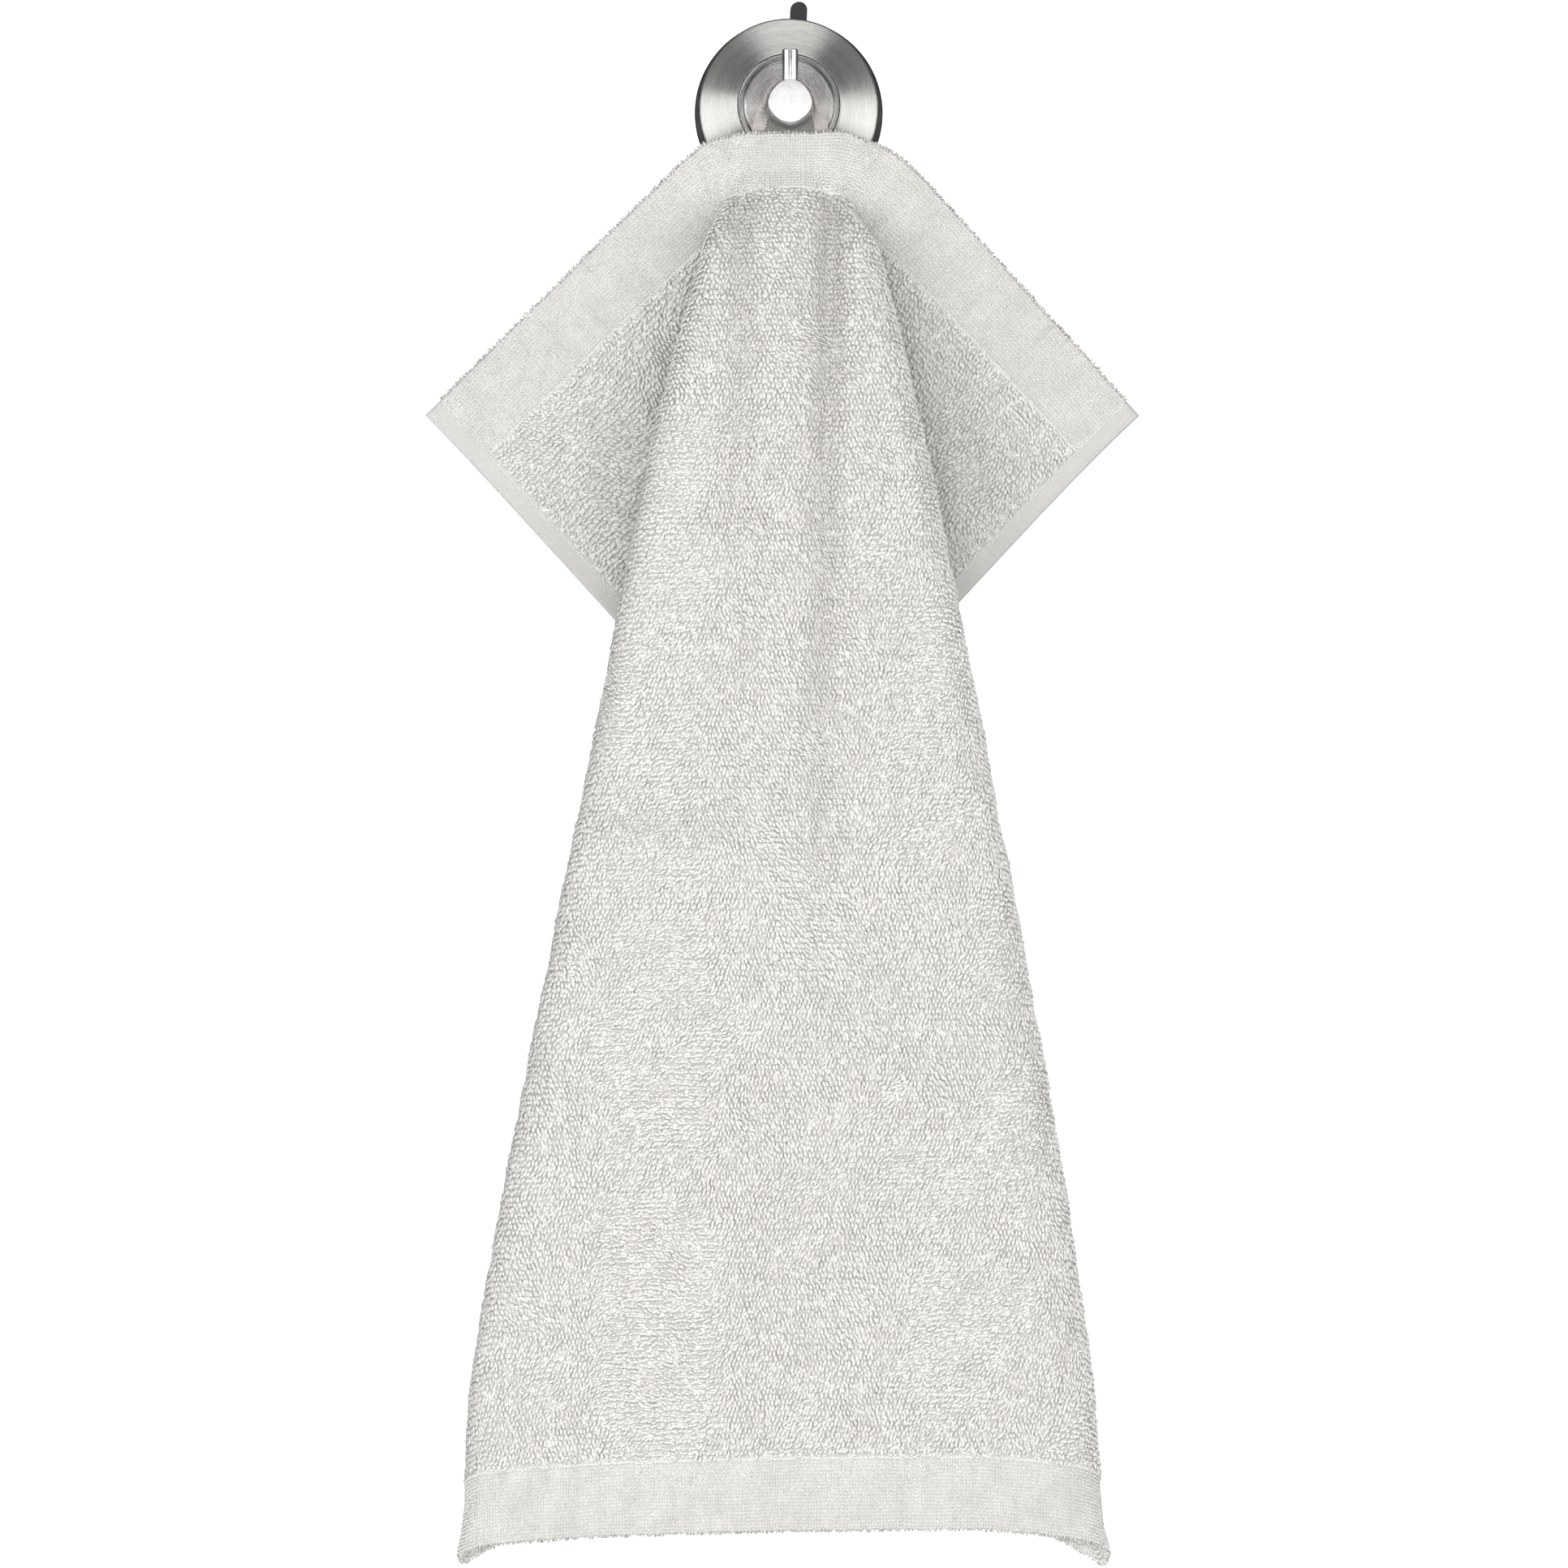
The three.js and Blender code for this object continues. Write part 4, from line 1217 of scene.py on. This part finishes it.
def makeStitches(frames):  # knitted stitches over both faces and both edges of the tape
    draw = np.random.default_rng(stitch["seed"])
    roots, lies, outs = [], [], []
    gaps = [(b[0] - a[0]).length for a, b in zip(frames, frames[1:])]
    lengths = np.concatenate([[0], np.cumsum(gaps)])
    for s in np.arange(0.5, lengths[-1] - 0.4, stitch["pitch"]):
        i = int(np.clip(np.searchsorted(lengths, s) - 1, 0, len(frames) - 2))
        t = (s - lengths[i]) / (lengths[i + 1] - lengths[i])
        at, along, wide, thick = [a.lerp(b, t) for a, b in zip(frames[i], frames[i + 1])]
        for face in (-1, 1):
            onFace = at + thick * face * (tape["thick"] / 2 - stitch["faceInset"])
            for column in stitch["columns"]:
                for lean in (-1, 1):
                    root = onFace + wide * (column + lean * stitch["apart"])
                    lies.append((along * 0.85 + wide * lean * 0.5).normalized())
                    outs.append(thick * face)
                    roots.append(root + along * float(draw.normal(0, stitch["wander"])))
            lies.append((along * 0.9 + thick * 0.45 * float(draw.choice([-1, 1]))).normalized())
            outs.append(wide * face)
            roots.append(at + wide * face * (tape["width"] / 2 - stitch["edgeInset"]))
    tones = np.clip(draw.normal(*stitch["tone"], len(roots)), 0, 1)
    vectors = {"lie": np.array(lies), "out": np.array(outs)}
    numbers = {"tone": tones, "grow": np.ones(len(roots))}
    source = pointMesh("tape_points", np.array(roots) * mm, vectors, numbers)
    sizes = formSizes(stitch["size"], 4, 3, 0.1, stitch["seed"], tapeFinish)
    stitches = growPiece("tape_stitches", source, yarnForms, sizes)
    dropAttributes(stitches, ("lie", "out", "grow"))
    return stitches


tapeLine = tapeFrames()
tapeCore = makeCore(tapeLine)
tapeStitches = makeStitches(tapeLine)
print("tape:", len(tapeStitches.data.polygons), "faces")

# the hook: turned pieces with fine rounded edges; a profile has radii and distances off the wall

hook = {
    "steps": 192,
    "bevel": 0.18,
    "padShift": -0.5,
    "padLift": -0.65,
    "coverShift": -0.5,
    "coverLift": 0.9,
    "pinY": -27.4,
    "flatEdge": (15.6, 16),
    "grooveInner": (15.9, 16.2),
    "grooveOuter": (18.2, 18.5),
    "grooveShade": 0.62,
    "lineShade": 0.8,
    "flatRelief": 2.5,  # how much stronger the brushing stands on the flat middle
}
profiles = {
    "cover": [
        (0, 13.2),
        (15.1, 12.9),
        (22, 9.9),
        (27, 6.5),
        (30.6, 3.9),
        (32.2, 3.9),
        (32.2, 4.6),
        (31.6, 5.2),
        (27.5, 7.9),
        (22.5, 11.4),
        (18.6, 14.3),
        (18.4, 14.35),
        (18.1, 13.8),
        (16.5, 14),
        (16.1, 15.3),
        (15.5, 15.7),
        (7.9, 16),
        (0, 16),
    ],
    "peg": [(0, 16.3), (7.9, 16.3), (7.9, 32.5), (7.4, 33), (0, 33)],
    "pin": [(0, 4.7), (2.8, 4.7), (2.8, 18.8), (2.5, 19.1), (0, 19.1)],
    "pad": [(0, 0), (33, 0), (33.8, 0.8), (33.8, 2.8), (33, 3.6), (11, 3.6), (11, 12), (0, 12)],
}


def shaded(color, share):
    return tuple(c * share for c in color)


def steelFinish(name, color, rough, ring, streak, brushed):
    # brushed in circles round the peg: fine grooves that follow the radius, broken into long arcs
    finish = Finish(name, color, Metallic=1.0, Roughness=rough)
    x, y, z = finish.axes(finish.place())
    radius = (x * x + z * z).math("SQRT") + 1e-5
    parts = {"X": radius * ring, "Y": x / radius * streak, "Z": z / radius * streak}
    lines = finish.add("ShaderNodeCombineXYZ", None, parts).outputs[0]
    fine = finish.noise(lines, 1.0, 4, 0.65)
    wide = finish.noise(lines, 0.18, 2)
    smudge = finish.noise(finish.place(), 60, 2)

    def beyond(edge):
        return radius.step(*(r * mm for r in hook[edge]))

    bare = finish.mix(fine.step(0.3, 0.7), shaded(color, hook["lineShade"]), color)
    inGroove = beyond("grooveInner") * (1 - beyond("grooveOuter"))
    finish.feed("Base Color", finish.mix(inGroove, bare, shaded(color, hook["grooveShade"])))
    finish.feed("Roughness", fine * 0.16 + wide * 0.1 + smudge * 0.06 + (rough - 0.16))
    finish.bump((fine + wide * 0.3) * (1 + (1 - beyond("flatEdge")) * hook["flatRelief"]), brushed, 0.8)
    return finish.material


def rubberFinish():
    finish = Finish("black_rubber", (0.016, 0.017, 0.019), Roughness=0.5, Specular_IOR_Level=0.4)
    place = finish.place()
    dust = finish.noise(place, 120, 3)
    dusty = finish.mix(dust.step(0.4, 0.75), (0.014, 0.015, 0.017), (0.035, 0.036, 0.04))
    finish.feed("Base Color", dusty)
    finish.feed("Roughness", dust * 0.25 + 0.42)
    finish.bump(finish.noise(place, 900, 3), 0.00006, 0.5)
    return finish.material


def pinFinish():
    finish = Finish("polished_pin", (0.70, 0.66, 0.65), Metallic=1.0, Roughness=0.22)
    rub = finish.noise(finish.place(), 400, 3)
    finish.feed("Roughness", rub * 0.14 + 0.16)
    finish.feed("Base Color", finish.mix(rub.step(0.35, 0.7), (0.64, 0.60, 0.595), (0.76, 0.72, 0.71)))
    return finish.material


steelDish = steelFinish("brushed_steel", (0.46, 0.455, 0.44), 0.26, 9000, 5, 0.00005)
steelPeg = steelFinish("turned_steel", (0.80, 0.796, 0.785), 0.28, 7000, 3, 0.00001)
blackRubber = rubberFinish()
polishedPin = pinFinish()


def solidPiece(name, points, faces, finish, sharp):  # a closed piece; edges over the angle stay sharp
    mesh = bpy.data.meshes.new(name)
    mesh.from_pydata(points, [], faces)
    work = bmesh.new()
    work.from_mesh(mesh)
    bmesh.ops.remove_doubles(work, verts=work.verts, dist=1e-7)
    bmesh.ops.recalc_face_normals(work, faces=work.faces)
    work.to_mesh(mesh)
    work.free()
    mesh.polygons.foreach_set("use_smooth", np.full(len(mesh.polygons), True))
    mesh.set_sharp_from_angle(angle=sharp)
    mesh.materials.append(finish)
    return addObject(name, mesh)


def rounded(profile, size):  # small rounds in place of a profile's sharp corners
    result = [profile[0]]
    for before, here, after in zip(profile, profile[1:], profile[2:]):
        b, h, a = (np.array(p, float) for p in (before, here, after))
        reachB = min(size, np.linalg.norm(b - h) * 0.4)
        reachA = min(size, np.linalg.norm(a - h) * 0.4)
        start = h + (b - h) / max(np.linalg.norm(b - h), 1e-9) * reachB
        end = h + (a - h) / max(np.linalg.norm(a - h), 1e-9) * reachA
        for t in (0, 0.25, 0.5, 0.75, 1):
            spot = (1 - t) ** 2 * start + 2 * t * (1 - t) * h + t**2 * end
            result.append((float(spot[0]), float(spot[1])))
    result.append(profile[-1])
    return result


def turnedPiece(name, part, bevel, finish, axis="Y", at=(0, 0, 0), steps=hook["steps"]):
    # a part's profile turned about an axis; each end of it lies on the axis
    profile = rounded(profiles[part], bevel)
    angles = np.arange(steps) * 2 * math.pi / steps
    rings = [(radius, off) for radius, off in profile if radius > 0]
    points = [(radius * math.cos(a), radius * math.sin(a), off) for radius, off in rings for a in angles]
    points += [(0, 0, profile[0][1]), (0, 0, profile[-1][1])]
    points = np.array(points, float)
    if axis == "Y":  # off the wall is towards -Y
        points = np.stack([points[:, 0], -points[:, 2], points[:, 1]], -1)
    faces = [(a, d, c, b) for a, b, c, d in ringFaces(len(rings), steps)]
    first = len(rings) * steps
    base = first - steps
    faces += [(first, (j + 1) % steps, j) for j in range(steps)]
    faces += [(first + 1, base + j, base + (j + 1) % steps) for j in range(steps)]
    placed = [tuple((Vector(p) + Vector(at)) * mm) for p in points]
    return solidPiece(name, placed, faces, finish, 32 * degree)


bevel = hook["bevel"]
coverAt = (hook["coverShift"], 0, hook["coverLift"])
cover = turnedPiece("cover_dish", "cover", bevel, steelDish, at=coverAt)
peg = turnedPiece("peg_round", "peg", bevel, steelPeg, steps=160)
pin = turnedPiece("stop_pin_round", "pin", 0.12, polishedPin, "Z", (0, hook["pinY"], 0), 96)
padAt = (hook["padShift"], 0, hook["padLift"])
pad = turnedPiece("pad_round", "pad", 0.5, blackRubber, at=padAt)

tabShape = {
    "half": 3.1,
    "thick": 2.4,
    "low": 27.8,
    "top": 39.5,
    "lean": 2 * degree,
    "topX": 3.2,
    "back": 0.4,
    "endSteps": 24,
    "ease": 0.35,  # how much less its length draws in at the rounded edges than its width
    "edge": ((0, 0.86), (0.25, 0.97), (0.6, 1)),  # distances from a face, and the width's share there
}


def makeTab():
    # the soft pull tab: a rounded tongue that leaves the pad at the top
    half, low, top, lean = (tabShape[name] for name in ("half", "low", "top", "lean"))
    outline = [(-half, low), (half, low)]
    for i in range(tabShape["endSteps"] + 1):
        a = math.pi * i / tabShape["endSteps"]
        outline.append((half * math.cos(a), top - half + half * math.sin(a)))
    shift = tabShape["topX"] - top * math.sin(lean)
    edge = tabShape["edge"]
    layers = [*edge, *((tabShape["thick"] - depth, share) for depth, share in reversed(edge))]
    points = []
    centreZ = (low + top) / 2
    for depth, share in layers:
        for x, z in outline:
            if z >= low + 1:
                z = centreZ + (z - centreZ) * (1 - (1 - share) * tabShape["ease"])
            x = x * share + z * math.sin(lean) + shift
            points.append((x * mm, (-tabShape["back"] - depth) * mm, z * math.cos(lean) * mm))
    n = len(outline)
    faces = ringFaces(len(layers), n)
    faces.append(tuple(range(n)))
    faces.append(tuple((len(layers) - 1) * n + j for j in reversed(range(n))))
    return solidPiece("pull_tab", points, faces, blackRubber, 40 * degree)


tab = makeTab()
print("hook made")

# what rides on what

towelPieces = [*pilePieces, *bandPieces, *seamPieces, *fringePieces]
for piece in [sheet, *towelPieces]:
    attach(piece, "root")
for piece in (tapeCore, tapeStitches):
    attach(piece, "root")
for piece in (cover, peg, pin):
    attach(piece, "root")
for piece in (pad, tab):
    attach(piece, "root")
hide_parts("towel_cloth")
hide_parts("hanging_loop")
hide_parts("hook_cover")
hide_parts("hook_peg")
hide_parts("hook_stop_pin")
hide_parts("hook_suction_pad")

# floor, light and camera, in metres

studio = {
    "floorZ": -0.72,
    "backY": 3.0,
    "frontY": -6.0,
    "wallTop": 6.0,
    "halfWide": 7,
    "curve": 1.2,  # radius between the floor and the back
    "curveSteps": 16,
    "sideAir": 0.53,
    "frontAir": 0.3,
    "backAir": 0.1,
    "floorGlow": 0.9,
}
towelAt = (0, 0, -0.25)
hookAt = (0, -0.015, 0)
softboxes = {  # place, size and power
    "key_softbox": ((0.0, -2.5, -0.7), (1.6, 1.4), 60),
    "left_softbox": ((-1.6, -2.0, -0.45), (1.2, 1.5), 34),
    "right_softbox": ((1.6, -2.0, -0.45), (1.2, 1.5), 24),
    "back_softbox": ((0.0, 1.6, -0.1), (1.4, 1.4), 26),
}
cards = {  # panels that only the shiny parts reflect: place, size and brightness
    "front_card": ((0.0, -2.3, 0.04), (0.4, 0.36), 9),
    "left_card": ((-0.9, -0.33, 0.0), (0.5, 0.56), 1.9),
    "right_card": ((0.9, -0.33, 0.0), (0.5, 0.56), 1.9),
    "left_wing_card": ((-1.0, -1.1, 0.0), (0.7, 0.5), 4),
    "right_wing_card": ((1.0, -1.1, 0.0), (0.7, 0.5), 4),
    "top_card": ((0.0, -0.35, 1.0), (0.9, 0.5), 1.6),
    "high_card": ((0.0, -1.1, 1.05), (0.6, 0.6), 2.4),
}


def makeStage():
    finish = Finish("pale_floor", (0.93, 0.93, 0.92), Roughness=0.9)
    finish.main.inputs["Emission Color"].default_value = (1, 1, 1, 1)
    finish.main.inputs["Emission Strength"].default_value = studio["floorGlow"]
    curve = studio["curve"]
    profile = [(studio["frontY"], studio["floorZ"])]
    for i in range(studio["curveSteps"] + 1):
        a = math.pi / 2 * i / studio["curveSteps"]
        y = studio["backY"] - curve + curve * math.sin(a)
        profile.append((y, studio["floorZ"] + curve - curve * math.cos(a)))
    profile.append((studio["backY"], studio["wallTop"]))
    points = [(side * studio["halfWide"], y, z) for y, z in profile for side in (-1, 1)]
    faces = [(2 * i, 2 * i + 1, 2 * i + 3, 2 * i + 2) for i in range(len(profile) - 1)]
    mesh = meshFrom("studio_floor", points, faces)
    mesh.materials.append(finish.material)
    floor = addObject("studio_floor", mesh)
    floor.visible_diffuse = False
    floor.visible_glossy = False


def addLight(name, at, aim, size, power, lights):
    light = bpy.data.lights.new(name, "AREA")
    light.shape = "RECTANGLE"
    light.size, light.size_y = size
    light.energy = power
    holder = bpy.data.objects.new(name, light)
    holder.location = at
    holder.rotation_euler = (Vector(aim) - Vector(at)).to_track_quat("-Z", "Y").to_euler()
    holder.visible_camera = False
    holder.visible_diffuse = lights == "diffuse"
    holder.visible_glossy = lights == "glossy"
    bpy.context.scene.collection.objects.link(holder)


def makeAir():
    # soft light from the whole front half of the room, and little from behind
    world = bpy.data.worlds.new("studio_air")
    bpy.context.scene.world = world
    world.use_nodes = True
    tree = world.node_tree
    way = tree.nodes.new("ShaderNodeSeparateXYZ")
    tree.links.new(tree.nodes.new("ShaderNodeTexCoord").outputs["Generated"], way.inputs[0])
    depth = Value(tree, way.outputs["Y"])
    aside = depth.step(0.05, -0.5) * (studio["sideAir"] - studio["backAir"])
    ahead = depth.step(-0.6, -0.95) * (studio["sideAir"] - studio["frontAir"])
    strength = aside - ahead + studio["backAir"]
    background = tree.nodes["Background"]
    background.inputs["Color"].default_value = (1, 1, 1, 1)
    tree.links.new(strength.socket, background.inputs["Strength"])


makeStage()
for name, (at, size, power) in softboxes.items():
    addLight(name, at, towelAt, size, power, "diffuse")
for name, (at, size, brightness) in cards.items():
    addLight(name, at, hookAt, size, brightness * math.pi * size[0] * size[1], "glossy")
makeAir()
bpy.context.scene.view_settings.view_transform = "Standard"

shot = {"x": -2.19 * mm, "y": -2.04, "z": -241.7 * mm, "lens": 130.19}
camera = bpy.data.cameras.new("shot")
camera.lens = shot["lens"]
camera.sensor_width = 36
camera.sensor_fit = "HORIZONTAL"
camera.clip_start = 0.05
camera.clip_end = 30
cameraObject = bpy.data.objects.new("shot", camera)
cameraObject.location = (shot["x"], shot["y"], shot["z"])
cameraObject.rotation_euler = (math.pi / 2, 0, 0)
bpy.context.scene.collection.objects.link(cameraObject)
bpy.context.scene.camera = cameraObject

added = [sheet, *towelPieces, tapeCore, tapeStitches, cover, peg, pin, pad, tab]
print("triangles added:", sum(len(p.vertices) - 2 for piece in added for p in piece.data.polygons))
